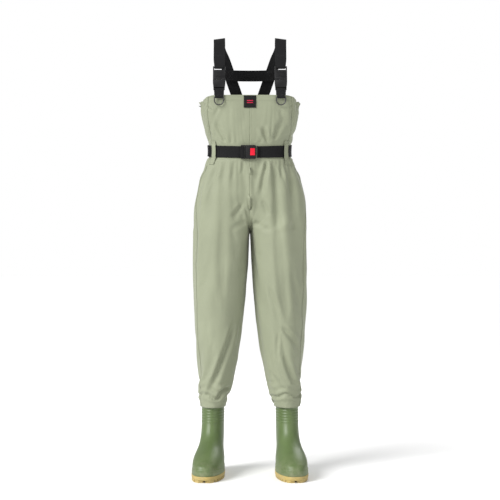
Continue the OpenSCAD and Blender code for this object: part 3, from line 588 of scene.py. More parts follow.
def moulded_plastic(name, colour, rough=0.42, grain=0.25):
    """Injection moulded plastic: fine spark texture, handling scuffs that are paler and duller."""
    m, tree, shader, where, _ = start_material(name, False)
    tone = place_group(tree, "Mottle", Vector=where, Patch=40.0, Fleck=1400.0)
    scuff = place_group(tree, "Scuffs", Vector=where, Size=120.0, Amount=0.45)
    base = blend_colours(tree, tone["Cloud"], tinted(colour, 0.88), tinted(colour, 1.12))
    pale = tuple(mix(c, 0.3, 0.14) for c in colour[:3]) + (1.0,)
    base = blend_colours(tree, times(tree, scuff["Mask"], 0.6), base, pale)
    feed(tree, shader, "Base Color", base)
    r = plus(tree, times(tree, tone["Grain"], 0.1), rough)
    feed(tree, shader, "Roughness", plus(tree, r, times(tree, scuff["Mask"], 0.2)))
    give(shader, Specular_IOR_Level=0.26)
    bump_into(tree, shader, tone["Grain"], grain, 0.00008)
    return m


def painted_steel(name, colour, metallic, rough):
    """Coated wire: smooth, with rubbed bright spots."""
    m, tree, shader, where, _ = start_material(name, False)
    scuff = place_group(tree, "Scuffs", Vector=where, Size=160.0, Amount=0.8)
    tone = place_group(tree, "Mottle", Vector=where, Patch=60.0, Fleck=1200.0)
    base = blend_colours(tree, tone["Cloud"], tinted(colour, 0.85), tinted(colour, 1.15))
    base = blend_colours(tree, scuff["Mask"], base, (0.35, 0.35, 0.36, 1.0))
    feed(tree, shader, "Base Color", base)
    give(shader, Metallic=metallic)
    feed(tree, shader, "Roughness", plus(tree, times(tree, tone["Grain"], 0.12), rough))
    bump_into(tree, shader, tone["Grain"], 0.15, 0.00008)
    return m


def boot_rubber(name, colour, dusty=0.5, rough=0.40, texture=0.18):
    """Moulded boot rubber: satin skin, faint flow marks, scuffs and a little dust near the ground."""
    m, tree, shader, where, _ = start_material(name, False)
    tone = place_group(tree, "Mottle", Vector=where, Patch=16.0, Fleck=520.0)
    scuff = place_group(tree, "Scuffs", Vector=where, Size=34.0, Amount=0.6)
    dust = place_group(tree, "Dust", Vector=where, Reach=0.085)
    base = blend_colours(tree, tone["Cloud"], tinted(colour, 0.90), tinted(colour, 1.08))
    base = blend_colours(tree, times(tree, scuff["Mask"], 0.35), base, tinted(colour, 1.7))
    base = blend_colours(tree, times(tree, dust["Mask"], dusty), base, (0.36, 0.33, 0.24, 1.0))
    feed(tree, shader, "Base Color", base)
    r = plus(tree, times(tree, tone["Cloud"], 0.08), rough)
    r = plus(tree, r, times(tree, scuff["Mask"], 0.2))
    feed(tree, shader, "Roughness", plus(tree, r, times(tree, dust["Mask"], 0.35), clamp=True))
    give(shader, Specular_IOR_Level=0.5)
    first = add(tree, "Bump", Height=tone["Cloud"], Strength=0.05, Distance=0.002)
    bump_into(tree, shader, tone["Grain"], texture, 0.00015, first.outputs[0])
    return m


def sewing_thread(name, colour):
    m, tree, shader, where, _ = start_material(name, False)
    twist = add(tree, "TexWave", {"bands_direction": "DIAGONAL"}, Vector=where, Scale=900.0, Distortion=1.0)
    # The twist's wave bands are painted into the colour, darker in the grooves between the plies and lighter
    # on the plies: painted shade and painted highlight. The same bands give the thread its bump.
    base = blend_colours(tree, twist.outputs["Fac"], tinted(colour, 0.7), tinted(colour, 1.2))
    feed(tree, shader, "Base Color", base)
    give(shader, Roughness=0.6, Sheen_Weight=0.1)
    bump_into(tree, shader, twist.outputs["Fac"], 0.4, 0.0001)
    return m


def floor_paint(name, colour):
    m, tree, shader, where, _ = start_material(name, False)
    tone = place_group(tree, "Mottle", Vector=where, Patch=2.0, Fleck=60.0)
    base = blend_colours(tree, tone["Cloud"], tinted(colour, 0.995), tinted(colour, 1.0))
    feed(tree, shader, "Base Color", base)
    give(shader, Roughness=0.9, Specular_IOR_Level=0.1)
    return m


# ---- The garment's cloth ----

FRONT_COLS, BACK_COLS = 72, 96
COLS = FRONT_COLS + BACK_COLS
LEG_ROWS, RISE_ROWS, BELT_ROWS, CHEST_ROWS = 176, 76, 14, 48
ROWS = LEG_ROWS + RISE_ROWS + BELT_ROWS + CHEST_ROWS
LEVELS = np.concatenate([np.linspace(LEG_END, CROTCH, LEG_ROWS + 1)[:-1],
                         np.linspace(CROTCH, BELT_LOW, RISE_ROWS + 1)[:-1],
                         np.linspace(BELT_LOW, BELT_HIGH, BELT_ROWS + 1)[:-1],
                         np.linspace(BELT_HIGH, BIB_TOP, CHEST_ROWS + 1)])
HALF_TURN = np.arange(COLS + 1)
SEEDS = {1: 11, -1: 23}
SETTLE_FRAMES, MOST_DRAPE = 26, 13


def turn_at(z, col):
    """Angle of a column of the cloth at height z: columns 0 to FRONT_COLS lie in front of the side seam."""
    seam = side_seam(z)
    return np.where(col <= FRONT_COLS, seam * col / FRONT_COLS,
                    seam + (180 - seam) * (col - FRONT_COLS) / BACK_COLS)


def column_at(z, phi):
    """Column, not always whole, of an angle at height z."""
    seam = side_seam(z)
    return np.where(phi <= seam, phi / seam * FRONT_COLS,
                    FRONT_COLS + (phi - seam) / (180 - seam) * BACK_COLS)


LEVEL_GRID = np.repeat(LEVELS[:, None], COLS + 1, axis=1)
TURN_GRID = turn_at(LEVEL_GRID, HALF_TURN[None, :])


def crease(x, z, line, width, depth):
    """Height of a crease along a line of (x, z) points in millimetres: a valley between two soft ridges."""
    line = np.array(line, float)
    lengths = np.linalg.norm(np.diff(line, axis=0), axis=1)
    total, done = lengths.sum(), 0.0
    best, share = np.full(x.shape, 1e9), np.zeros(x.shape)
    for (ax, az), (bx, bz), length in zip(line[:-1], line[1:], lengths):
        t = ((x - ax) * (bx - ax) + (z - az) * (bz - az)) / length**2
        inside = np.clip(t, 0, 1)
        d = np.hypot(x - (ax + (bx - ax) * inside), z - (az + (bz - az) * inside))
        closer = d < best
        best = np.where(closer, d, best)
        share = np.where(closer, (done + inside * length) / total, share)
        done += length
    taper = ease(share / 0.22) * ease((1 - share) / 0.35)
    spread_out = width * (0.75 + 0.6 * share)
    q = best / spread_out
    return -depth * taper * (1 - q * q) * np.exp(-q * q / 2)


# Creases in millimetres: a line of (sideways, height) points, then its width and its depth.
FRONT_CREASES = (
    (((-79, 1084), (-96, 1120), (-117, 1166)), 7, 3.6), (((58, 1083), (50, 1112), (38, 1146)), 7, 6.0),
    (((74, 1092), (90, 1128), (112, 1170)), 9, 4.6), (((142, 1100), (140, 1160), (136, 1218)), 7, 4.0),
    (((-130, 1090), (-133, 1160)), 6, 2.2), (((-120, 1190), (-150, 1214)), 4, 3.0),
    (((125, 1200), (150, 1222)), 4, 3.0), (((-100, 1206), (-122, 1168)), 6, 1.6),
    (((96, 1196), (118, 1150)), 8, 2.4),
    (((57, 1038), (45, 975), (33, 900)), 8, 6.4), (((80, 1028), (88, 900), (90, 745)), 11, 5.4),
    (((131, 1034), (141, 880), (156, 745)), 15, 8.0), (((-75, 1036), (-97, 945)), 9, 2.6),
    (((-146, 1034), (-170, 935), (-179, 868)), 9, 7.0), (((-20, 1037), (-31, 975)), 5, 2.4),
    (((99, 1034), (106, 955)), 6, 3.2), (((-48, 1036), (-60, 960)), 6, 2.0),
    (((-112, 1034), (-124, 940), (-128, 860)), 12, 2.6),
    (((-26, 893), (-64, 836)), 7, 4.2), (((-16, 878), (-3, 800)), 6, 5.4), (((38, 902), (66, 848)), 7, 3.4),
    (((13, 850), (4, 800)), 5, 4.0), (((-12, 842), (-70, 800)), 8, 3.0), (((14, 836), (78, 790)), 8, 2.6),
    (((58, 626), (80, 560), (102, 488)), 9, 4.6), (((101, 492), (134, 452), (170, 406)), 9, 6.0),
    (((108, 406), (128, 345), (151, 278)), 10, 5.6), (((80, 332), (110, 250)), 9, 3.4),
    (((150, 640), (158, 560), (160, 500)), 12, 3.2), (((92, 470), (88, 400), (96, 350)), 8, 2.6),
    (((-49, 517), (-73, 430), (-108, 330), (-144, 244)), 9, 7.0), (((-80, 291), (-116, 228)), 7, 4.6),
    (((-64, 290), (-111, 262)), 6, 4.0), (((-150, 520), (-132, 420), (-126, 350)), 11, 3.2),
    (((-160, 640), (-166, 540)), 12, 2.6), (((-118, 610), (-104, 480)), 14, 2.2),
)
BACK_CREASES = (
    (((-60, 1090), (-84, 1150)), 8, 4.0), (((46, 1086), (70, 1160)), 8, 4.2),
    (((0, 1090), (-8, 1150)), 7, 2.6),
    (((-112, 1092), (-120, 1180)), 8, 3.4), (((116, 1090), (122, 1170)), 8, 3.6),
    (((-30, 1036), (-52, 960), (-64, 900)), 9, 5.4), (((24, 1036), (40, 965), (60, 905)), 9, 5.0),
    (((-86, 1034), (-112, 930)), 11, 4.6), (((90, 1034), (120, 925)), 11, 4.8),
    (((150, 1030), (172, 930)), 10, 5.0),
    (((-150, 1030), (-170, 930)), 10, 4.6),
    (((-12, 850), (-70, 800), (-120, 770)), 11, 6.0), (((12, 848), (72, 796), (126, 772)), 11, 6.2),
    (((-20, 812), (-84, 745)), 9, 4.6), (((22, 806), (90, 740)), 9, 4.8),
    (((-18, 900), (-70, 868)), 12, 3.0),
    (((20, 896), (76, 862)), 12, 3.0),
    (((-70, 560), (-150, 530)), 9, 5.4), (((-66, 528), (-146, 506)), 8, 4.6),
    (((72, 552), (156, 520)), 9, 5.6),
    (((70, 520), (150, 500)), 8, 4.4), (((-84, 592), (-150, 574)), 8, 3.0),
    (((84, 586), (152, 566)), 8, 3.0),
    (((-80, 440), (-140, 330)), 11, 4.0), (((150, 440), (92, 330)), 11, 4.2),
    (((-150, 300), (-90, 262)), 8, 4.4),
    (((90, 300), (152, 258)), 8, 4.4),
)


def wandering(rng, count, x, scale):
    """Smooth seeded noise along x: a sum of waves that don't repeat."""
    total = np.zeros_like(x)
    for _ in range(count):
        total += np.sin(x * rng.uniform(0.6, 1.7) / scale * 2 * math.pi + rng.uniform(0, 2 * math.pi))
    return total / math.sqrt(count)


def fold_height(side, base):
    """How far each point of one half of the cloth stands out from its plain shape, in millimetres."""
    x, z = base[..., 0] * side, base[..., 2]
    level, turn = LEVEL_GRID, TURN_GRID
    facing = np.cos(np.radians(turn))
    front = ease((facing + 0.25) / 0.5)
    rng = np.random.default_rng(SEEDS[side])
    step = np.linalg.norm(np.diff(base, axis=1, prepend=base[:, :1]), axis=2)
    arc = np.cumsum(step, axis=1)
    h = np.zeros(x.shape)
    for line, width, depth in FRONT_CREASES:
        h += front * crease(x, z, line, width, depth)
    for line, width, depth in BACK_CREASES:
        h += (1 - front) * crease(x, z, line, width, depth)
    # Small pleats that the belt presses in, finer near it and fading away from it.
    below, above = BELT_LOW - level, level - BELT_HIGH
    for away, reach, amount in ((below, 70.0, 1.5), (above, 42.0, 1.3)):
        lean = wandering(rng, 3, arc, 160) * 0.25 * np.clip(away, 0, 200)
        pleat = wandering(rng, 6, arc + lean, 26 + 0.12 * np.clip(away, 0, 200))
        fade = np.exp(-np.clip(away, 0, None) / reach) * ease(away / 9)
        h += amount * fade * pleat
    # Broad hand of the cloth.
    for _ in range(4):
        a, b = rng.uniform(70, 150), rng.uniform(160, 360)
        around = arc / a * 2 * math.pi + rng.uniform(0, 6.3)
        h += 0.75 * np.sin(around + 1.5 * np.sin(z / b * 2 * math.pi + rng.uniform(0, 6.3)))
    # Cloth gathered over the ankles.
    low = ease((level - LEG_END - 6) / 16) * (1 - ease((level - 268) / 70))
    bunch = np.sin((z + 7 * wandering(rng, 3, arc, 120)) / 24 * 2 * math.pi)
    bunch = bunch * (0.6 + 0.4 * wandering(rng, 2, arc, 90))
    h += 2.0 * low * bunch + 1.8 * low
    # Elastic in the sides of the hem draws the cloth into ruffles.
    ruffle = ease((turn - 52) / 14) * (1 - ease((turn - 120) / 14))
    drop = BIB_TOP - level
    lean = 0.25 * drop * wandering(rng, 2, arc, 90)
    waves = np.sin((arc + lean) / 20 * 2 * math.pi + 0.9 * wandering(rng, 3, arc, 60))
    waves = waves * (1 + 0.3 * wandering(rng, 3, arc, 50))
    gather = 4.8 * np.exp(-drop / 32) + 1.5 * np.exp(-drop / 85)
    h += ruffle * (waves * gather - 2.4 * np.exp(-((drop - 15) / 9) ** 2)
                   + 1.0 * np.exp(-((drop - 2) / 5) ** 2))
    # The cloth is held flat under the belt, along the welds, at the hem's front and where pieces are sewn on.
    calm = ease((np.abs(level - BELT_Z) - BELT_W / 2 - 4) / 12)
    calm *= ease((level - LEG_END) / 9)
    hem = (1 - ruffle) * (1 - ease((drop - 8) / 42))
    calm *= 1 - 0.85 * hem
    for cx, cz, radius in ((0, BIB_TOP - 22, 34), (LOOP_FRONT_X, BELT_Z - 40, 16),
                           (-LOOP_FRONT_X, BELT_Z - 40, 16),
                           (LOOP_FRONT_X, BELT_Z + 24, 14), (-LOOP_FRONT_X, BELT_Z + 24, 14)):
        calm *= 1 - front * 0.8 * np.exp(-((x - cx) ** 2 + (z - cz) ** 2) / radius**2)
    calm *= 1 - (1 - front) * 0.8 * np.exp(-(x / 60) ** 2 - ((z - BACK_TOP + 26) / 34) ** 2)
    return h * calm, ruffle * np.exp(-drop / 22) * waves


def cut_shape(points, level, side):
    """The shape the cloth is cut to: fuller round waist and ankles, a little fuller and longer elsewhere."""
    fuller = 1.012 + 0.075 * np.exp(-((level - BELT_Z) / 60) ** 2) + 0.03 * ease((RISE_TOP - level) / 200)
    fuller += 0.075 * (1 - ease((level - LEG_END) / 110))
    longer = 1.012 + 0.02 * (1 - ease((level - LEG_END) / 200))
    on_leg = ease((RISE_TOP - level) / (RISE_TOP - CROTCH))
    mid_x = side * on_leg * (read_table(LEG, level, 1) + read_table(LEG, level, 2)) / 2
    cut = points.copy()
    cut[..., 0] = mid_x + (points[..., 0] - mid_x) * fuller
    cut[..., 1] = AXIS_Y + (points[..., 1] - AXIS_Y) * fuller
    cut[..., 2] = BELT_Z + (points[..., 2] - BELT_Z) * longer
    return cut


def settle_cloth(left, right):
    """Drapes the coarse cloth, which is cut fuller than it hangs and held at the belt, hem and boots."""
    coarse = {1: left[::2, ::2], -1: right[::2, ::2]}
    rows, cols = coarse[1].shape[:2]
    level, turn = LEVEL_GRID[::2, ::2], TURN_GRID[::2, ::2]
    bm = bmesh.new()
    tags = [bm.verts.layers.int.new(k) for k in ("side", "row", "column")]
    for side in (1, -1):
        made = bmesh.ops.create_grid(bm, x_segments=cols - 1, y_segments=rows - 1, size=1)["verts"]
        for v in made:
            c, r = round((v.co.x + 1) / 2 * (cols - 1)), round((v.co.y + 1) / 2 * (rows - 1))
            v[tags[0]], v[tags[1]], v[tags[2]] = side, r, c
            v.co = Vector(coarse[side][r, c] * MM)
    bmesh.ops.remove_doubles(bm, verts=bm.verts, dist=5e-4)
    bmesh.ops.recalc_face_normals(bm, faces=bm.faces)
    where = np.array([(v[tags[0]], v[tags[1]], v[tags[2]]) for v in bm.verts])
    mesh = finish_mesh(bm, "cloth_work")
    work = link(bpy.data.objects.new("cloth_work", mesh))
    start = np.zeros(len(mesh.vertices) * 3)
    mesh.vertices.foreach_get("co", start)
    start = start.reshape(-1, 3)
    lev, ang = level[where[:, 1], where[:, 2]], turn[where[:, 1], where[:, 2]]
    cut = cut_shape(start / MM, lev, np.sign(where[:, 0])) * MM
    work.shape_key_add(name="Basis")
    key = work.shape_key_add(name="cut")
    key.data.foreach_set("co", cut.ravel())
    key.value = 0.0
    held = work.vertex_groups.new(name="held")
    hold = 0.012 + 1.0 * (np.abs(lev - BELT_Z) < BELT_W / 2 + 5) + 1.0 * (lev < LEG_END + 10)
    hold += ease((lev - BIB_TOP + 26) / 20) * np.where(ang < 50, 1.0, np.where(ang > 130, 0.8, 0.25))
    hold += 0.6 * np.exp(-((lev - CROTCH) / 12) ** 2) * ((ang < 8) | (ang > 172))
    for i, weight in enumerate(np.clip(hold, 0, 1)):
        held.add([i], float(weight), "REPLACE")
    cloth = work.modifiers.new("Cloth", "CLOTH")
    s = cloth.settings
    s.quality, s.mass, s.air_damping = 5, 0.25, 3.0
    for way, stiffness, damping in (("tension", 18, 10), ("compression", 18, 10), ("shear", 6, 8),
                                    ("bending", 1.2, 1)):
        setattr(s, way + "_stiffness", stiffness)
        setattr(s, way + "_damping", damping)
    s.vertex_group_mass, s.pin_stiffness = "held", 1.0
    s.rest_shape_key = work.data.shape_keys.key_blocks["cut"]
    s.effector_weights.gravity = 0.12
    s.use_pressure, s.uniform_pressure_force = True, 0.35
    cloth.collision_settings.use_collision = False
    cloth.collision_settings.use_self_collision = False
    scene = bpy.context.scene
    for f in range(1, SETTLE_FRAMES + 1):
        scene.frame_set(f)
    shown = work.evaluated_get(bpy.context.evaluated_depsgraph_get())
    end = np.zeros(len(mesh.vertices) * 3)
    shown.data.vertices.foreach_get("co", end)
    moved = (end.reshape(-1, 3) - start) / MM
    scene.frame_set(1)
    bpy.data.objects.remove(work)
    size = np.linalg.norm(moved, axis=1, keepdims=True)
    moved *= MOST_DRAPE * np.tanh(size / MOST_DRAPE) / np.maximum(size, 1e-6)
    out = {}
    for side in (1, -1):
        field = np.full((rows, cols, 3), np.nan)
        mine = where[:, 0] == side
        field[where[mine, 1], where[mine, 2]] = moved[mine]
        out[side] = field
    for side in (1, -1):
        other = out[-side] * 1.0
        gap = np.isnan(out[side][..., 0])
        seam = out[side][:, ::cols - 1][:, ::-1]
        for k, c in enumerate((0, cols - 1)):
            rows_open = gap[:, c]
            out[side][rows_open, c] = np.where(np.isnan(seam[rows_open, k]), other[rows_open, c],
                                               seam[rows_open, k])
    return {side: refine_field(creases_only(np.nan_to_num(out[side]))) for side in (1, -1)}


def creases_only(field):
    """Takes the slow drift out of a field and leaves its creases; its side edges keep all of it."""
    slow = field
    for axis, reach in ((0, 12), (1, 9)):
        for _ in range(2):
            f = np.moveaxis(slow, axis, 0)
            padded = np.concatenate([np.repeat(f[:1], reach, 0), f, np.repeat(f[-1:], reach + 1, 0)])
            total = np.concatenate([padded[:1] * 0, np.cumsum(padded, axis=0)])
            width = 2 * reach + 1
            f = (total[width:width + len(f)] - total[:len(f)]) / width
            slow = np.moveaxis(f, 0, axis)
    column = np.arange(field.shape[1])
    inner = ease(np.minimum(column, column[::-1]) / 14)
    return field - 0.92 * slow * inner[None, :, None]


def refine_field(field):
    """A field on every other row and column, filled in smoothly between them."""
    for axis in (0, 1):
        f = np.moveaxis(field, axis, 0)
        padded = np.concatenate([f[:1] * 2 - f[1:2], f, f[-1:] * 2 - f[-2:-1]])
        middle = (-padded[:-3] + 9 * padded[1:-2] + 9 * padded[2:-1] - padded[3:]) / 16
        full = np.zeros((2 * len(f) - 1,) + f.shape[1:])
        full[::2], full[1::2] = f, middle
        field = np.moveaxis(full, 0, axis)
    return field


class Cloth:
    """Both halves of the finished garment surface, as points and normals in millimetres."""

    def __init__(self, fold_depth):
        base = body(LEVEL_GRID, TURN_GRID)
        base[LEG_ROWS:, 0, 0] = base[LEG_ROWS:, -1, 0] = 0.0
        outward = normals_of(base)
        self.points, self.normals = {}, {}
        arc = np.cumsum(np.linalg.norm(np.diff(base, axis=1, prepend=base[:, :1]), axis=2), axis=1)
        heights, shaped = {side: fold_height(side, base) for side in (1, -1)}, {}
        for c, reach in ((0, arc), (-1, arc[:, -1:] - arc)):
            middle = (heights[1][0][:, c] + heights[-1][0][:, c]) / 2
            for side in (1, -1):
                h = heights[side][0]
                inseam = (h[:, 0] + h[:, -1]) / 2
                want = np.where(LEVELS >= CROTCH, middle, np.clip(inseam, -2, 2))
                flat = np.exp(-(reach / 17) ** 4)
                h[:] = mix(h + (want - h[:, c])[:, None] * np.exp(-(reach / 30) ** 2), want[:, None], flat)
        for side in (1, -1):
            h, flutter = heights[side]
            p = base + outward * (h * fold_depth)[..., None]
            p[..., 2] += flutter * 1.2 * fold_depth
            shaped[side] = p * np.array([side, 1, 1])
        plain = {side: base * np.array([side, 1, 1]) for side in (1, -1)}
        self.cut = {side: cut_shape(plain[side], LEVEL_GRID, side) for side in (1, -1)}
        drape = {1: 0.0, -1: 0.0}
        drape = settle_cloth(shaped[1], shaped[-1])
        for side in (1, -1):
            p = shaped[side] + drape[side]
            keep = 1 - ease((np.abs(LEVEL_GRID - BELT_Z) - BELT_W / 2 - 3) / 7)
            p = mix(p, plain[side], keep[..., None])
            p[:LEG_ROWS, :, 0] = side * np.maximum(p[:LEG_ROWS, :, 0] * side, 0.7)
            self.points[side] = p
        for c in (0, -1):
            both = (self.points[1][LEG_ROWS:, c] + self.points[-1][LEG_ROWS:, c]) / 2
            self.points[1][LEG_ROWS:, c] = self.points[-1][LEG_ROWS:, c] = both
        for side in (1, -1):
            p = self.points[side]
            p[:LEG_ROWS, -1] = p[:LEG_ROWS, 0] = (p[:LEG_ROWS, 0] + p[:LEG_ROWS, -1]) / 2
            p[:6, :, 2] -= (4.0 * np.cos(np.radians(2 * TURN_GRID[:6] - 90))
                            * np.linspace(1, 0, 6)[:, None])
            self.normals[side] = normals_of(p) * side

    def sample(self, side, level, turn, lift=0.0):
        """Point at a nominal level and angle, lifted along the outward normal; also the normal itself."""
        r = np.interp(level, LEVELS, np.arange(ROWS + 1))
        c = float(column_at(level, turn))
        return self.at(side, r, c, lift)

    def at(self, side, r, c, lift=0.0):
        r, c = min(max(r, 0), ROWS - 1e-6), min(max(c, 0), COLS - 1e-6)
        i, j = int(r), int(c)
        a, b = r - i, c - j
        out = []
        for grid in (self.points[side], self.normals[side]):
            out.append(grid[i, j] * (1 - a) * (1 - b) + grid[i + 1, j] * a * (1 - b)
                       + grid[i, j + 1] * (1 - a) * b + grid[i + 1, j + 1] * a * b)
        n = out[1] / np.linalg.norm(out[1])
        return out[0] + n * lift, n

    def front_at(self, x, z, lift=0.0):
        """Point on the garment's front at a sideways place and a height."""
        side = 1 if x >= 0 else -1
        part = self.points[side][LEG_ROWS:, :FRONT_COLS + 1]
        r = int(np.argmin(np.abs(part[:, 0, 2] - z)))
        c = np.interp(abs(x), np.abs(part[r, :, 0]), np.arange(FRONT_COLS + 1))
        r = float(np.interp(z, part[:, min(int(round(c)), FRONT_COLS), 2], np.arange(len(part))))
        return self.at(side, r + LEG_ROWS, float(c), lift)

    def patch(self, side, rows, cols, lift):
        """Grid of lifted points over whole rows and columns."""
        r, c = slice(rows[0], rows[1] + 1), slice(cols[0], cols[1] + 1)
        return self.points[side][r, c] + self.normals[side][r, c] * lift


# ---- Settings that a user would change ----

def tint(name, description, default):
    return bpy.props.FloatVectorProperty(name=name, description=description, default=default,
                                         subtype="COLOR",
                                         size=3, min=0, max=1)


def number(name, description, low, high, default, **more):
    return bpy.props.FloatProperty(name=name, description=description, min=low, max=high, default=default,
                                   **more)


class WadersFabric(bpy.types.PropertyGroup):
    """Cloth of the bib and legs."""
    colour: tint("Cloth", "Colour of the coated cloth", (0.250, 0.270, 0.183))
    lining: tint("Lining", "Colour of the cloth's coated inner side", (0.20, 0.215, 0.155))
    tape: tint("Seam tape", "Colour of the welded tapes inside", (0.13, 0.14, 0.105))
    folds: number("Folds", "Depth of the creases, as a share of the usual", 0.0, 1.6, 1.0, subtype="FACTOR")
    thickness: number("Thickness", "Thickness of the cloth", 0.0006, 0.002, 0.0012, unit="LENGTH")


class WadersWebbing(bpy.types.PropertyGroup):
    """Webbing, moulded buckles, label and rings."""
    webbing: tint("Webbing", "Colour of the straps and the belt", (0.006, 0.006, 0.0065))
    plastic: tint("Buckles", "Colour of the moulded buckles", (0.008, 0.008, 0.0085))
    button: tint("Button", "Colour of the belt buckle's release button", (0.72, 0.012, 0.035))
    wire: tint("Rings", "Colour of the coated steel rings", (0.03, 0.03, 0.03))
    bevel: number("Edge rounding", "Radius of the buckles' moulded edges", 0.0001, 0.0008, 0.00045,
                  unit="LENGTH")


class WadersBoots(bpy.types.PropertyGroup):
    """Moulded boots."""
    upper: tint("Boot", "Colour of the boots", (0.088, 0.131, 0.044))
    sole: tint("Outsole", "Colour of the gum outsoles", (0.40, 0.30, 0.095))
    ribs: bpy.props.IntProperty(name="Ribs", description="Ribs round the top of each shaft", min=0, max=8,
                                default=5)


class WadersStage(bpy.types.PropertyGroup):
    """Floor, lights and camera."""
    floor: tint("Floor", "Colour of the floor", (0.93, 0.93, 0.93))
    key: number("Key light", "Strength of the main light", 0, 20, 3.9)
    sky: number("Surroundings", "Strength of the even light all round", 0, 3, 0.45)
    focal: number("Focal length", "Focal length of the camera in millimetres", 20, 200, 91.6)


GROUP_MAKERS = {"Weave": weave_group, "Mottle": tone_group, "Scuffs": wear_group, "Dust": dust_group}
CLOTH = {}


def cloth_surface():
    """The garment's surface, worked out once and shared by everything that is sewn to it."""
    if "now" not in CLOTH:
        CLOTH["now"] = Cloth(bpy.context.scene.waders_fabric.folds)
    return CLOTH["now"]


def material(name):
    """A material by its plain name, made on first use."""
    if name in bpy.data.materials:
        return bpy.data.materials[name]
    for group, maker in GROUP_MAKERS.items():
        if group not in bpy.data.node_groups:
            maker()
    fabric, webbing = bpy.context.scene.waders_fabric, bpy.context.scene.waders_webbing
    boots, stage = bpy.context.scene.waders_boots, bpy.context.scene.waders_stage
    makers = {
        "sage cloth": lambda n: coated_fabric(n, fabric.colour),
        "cloth lining": lambda n: coated_fabric(n, fabric.lining, lining=True),
        "welded tape": lambda n: coated_fabric(n, fabric.tape, lining=True),
        "black webbing": lambda n: webbing_cloth(n, webbing.webbing),
        "elastic webbing": lambda n: webbing_cloth(n, webbing.webbing, 620.0, 0.3),
        "sage elastic": lambda n: webbing_cloth(n, fabric.tape, 620.0, 0.3),
        "label weave": lambda n: webbing_cloth(n, (0.008, 0.008, 0.008), 1500.0, 1.0),
        "satin stitch": lambda n: webbing_cloth(n, (0.42, 0.012, 0.045), 1600.0, 0.08),
        "black plastic": lambda n: moulded_plastic(n, webbing.plastic),
        "latch plastic": lambda n: moulded_plastic(n, webbing.plastic, 0.36, 0.15),
        "red button": lambda n: moulded_plastic(n, webbing.button, 0.3, 0.12),
        "coated ring wire": lambda n: painted_steel(n, webbing.wire, 0.0, 0.34),
        "spring wire": lambda n: painted_steel(n, (0.5, 0.5, 0.51), 1.0, 0.28),
        "boot rubber": lambda n: boot_rubber(n, boots.upper),
        "gum rubber": lambda n: boot_rubber(n, boots.sole, 0.35, 0.52, 0.3),
        "insole foam": lambda n: boot_rubber(n, (0.05, 0.055, 0.05), 0.0, 0.8, 0.6),
        "sage thread": lambda n: sewing_thread(n, tinted(fabric.colour, 0.72)),
        "black thread": lambda n: sewing_thread(n, (0.02, 0.02, 0.021)),
        "pale floor": lambda n: floor_paint(n, stage.floor),
    }
    return makers[name](name)


# ---- Garment ----

def panel(name, side, cols, node, raise_edges):
    """One of the four cloth panels, from the boot to the hem, with its welded edges and turned hem."""
    surface = cloth_surface()
    fabric = bpy.context.scene.waders_fabric
    lift = np.zeros((ROWS + 1, cols[1] - cols[0] + 1))
    for edge, width, height in raise_edges:
        step = np.abs(np.arange(lift.shape[1]) - (0 if edge == "first" else lift.shape[1] - 1))
        lift = np.maximum(lift, height * (step <= width))
    from_top = ROWS - np.arange(ROWS + 1)
    lift += (0.8 * (from_top <= 6))[:, None]
    lift += (0.5 * (np.arange(ROWS + 1) <= 4))[:, None]
    c = slice(cols[0], cols[1] + 1)
    points = surface.points[side][:, c] + surface.normals[side][:, c] * lift[..., None]
    mesh = sheet_mesh(name, points * MM, flip=side < 0)
    piece = new_piece(name, mesh, "garment", ["sage cloth", "cloth lining"], (node,))
    thicken(piece, fabric.thickness / MM, inside=1)
    return piece


def inner_strip(name, points, nodes, mat="welded tape", thick=TAPE_T, every=2):
    """Strip that lies on the inside of the cloth, through a grid of points in millimetres."""
    piece = new_piece(name, sheet_mesh(name, points[::every] * MM), "garment", [mat], nodes)
    thicken(piece, thick, offset=0.0)


def row_at(level):
    """The row nearest to a nominal level."""
    return int(round(float(np.interp(level, LEVELS, np.arange(ROWS + 1)))))


def build_garment():
    """The four panels; at the welds in the middle and at the sides the upper edge stands proud."""
    for side, end in SIDES:
        middle = MIDDLE_LAP if side > 0 else 0.0
        panel(f"front_panel_cloth_{end}", side, (0, FRONT_COLS), f"front_panel_{end}",
              [("first", 2, middle)])
        back_lift = [("first", 3, SIDE_LAP), ("last", 2, middle)]
        panel(f"back_panel_cloth_{end}", side, (FRONT_COLS, COLS), f"back_panel_{end}", back_lift)


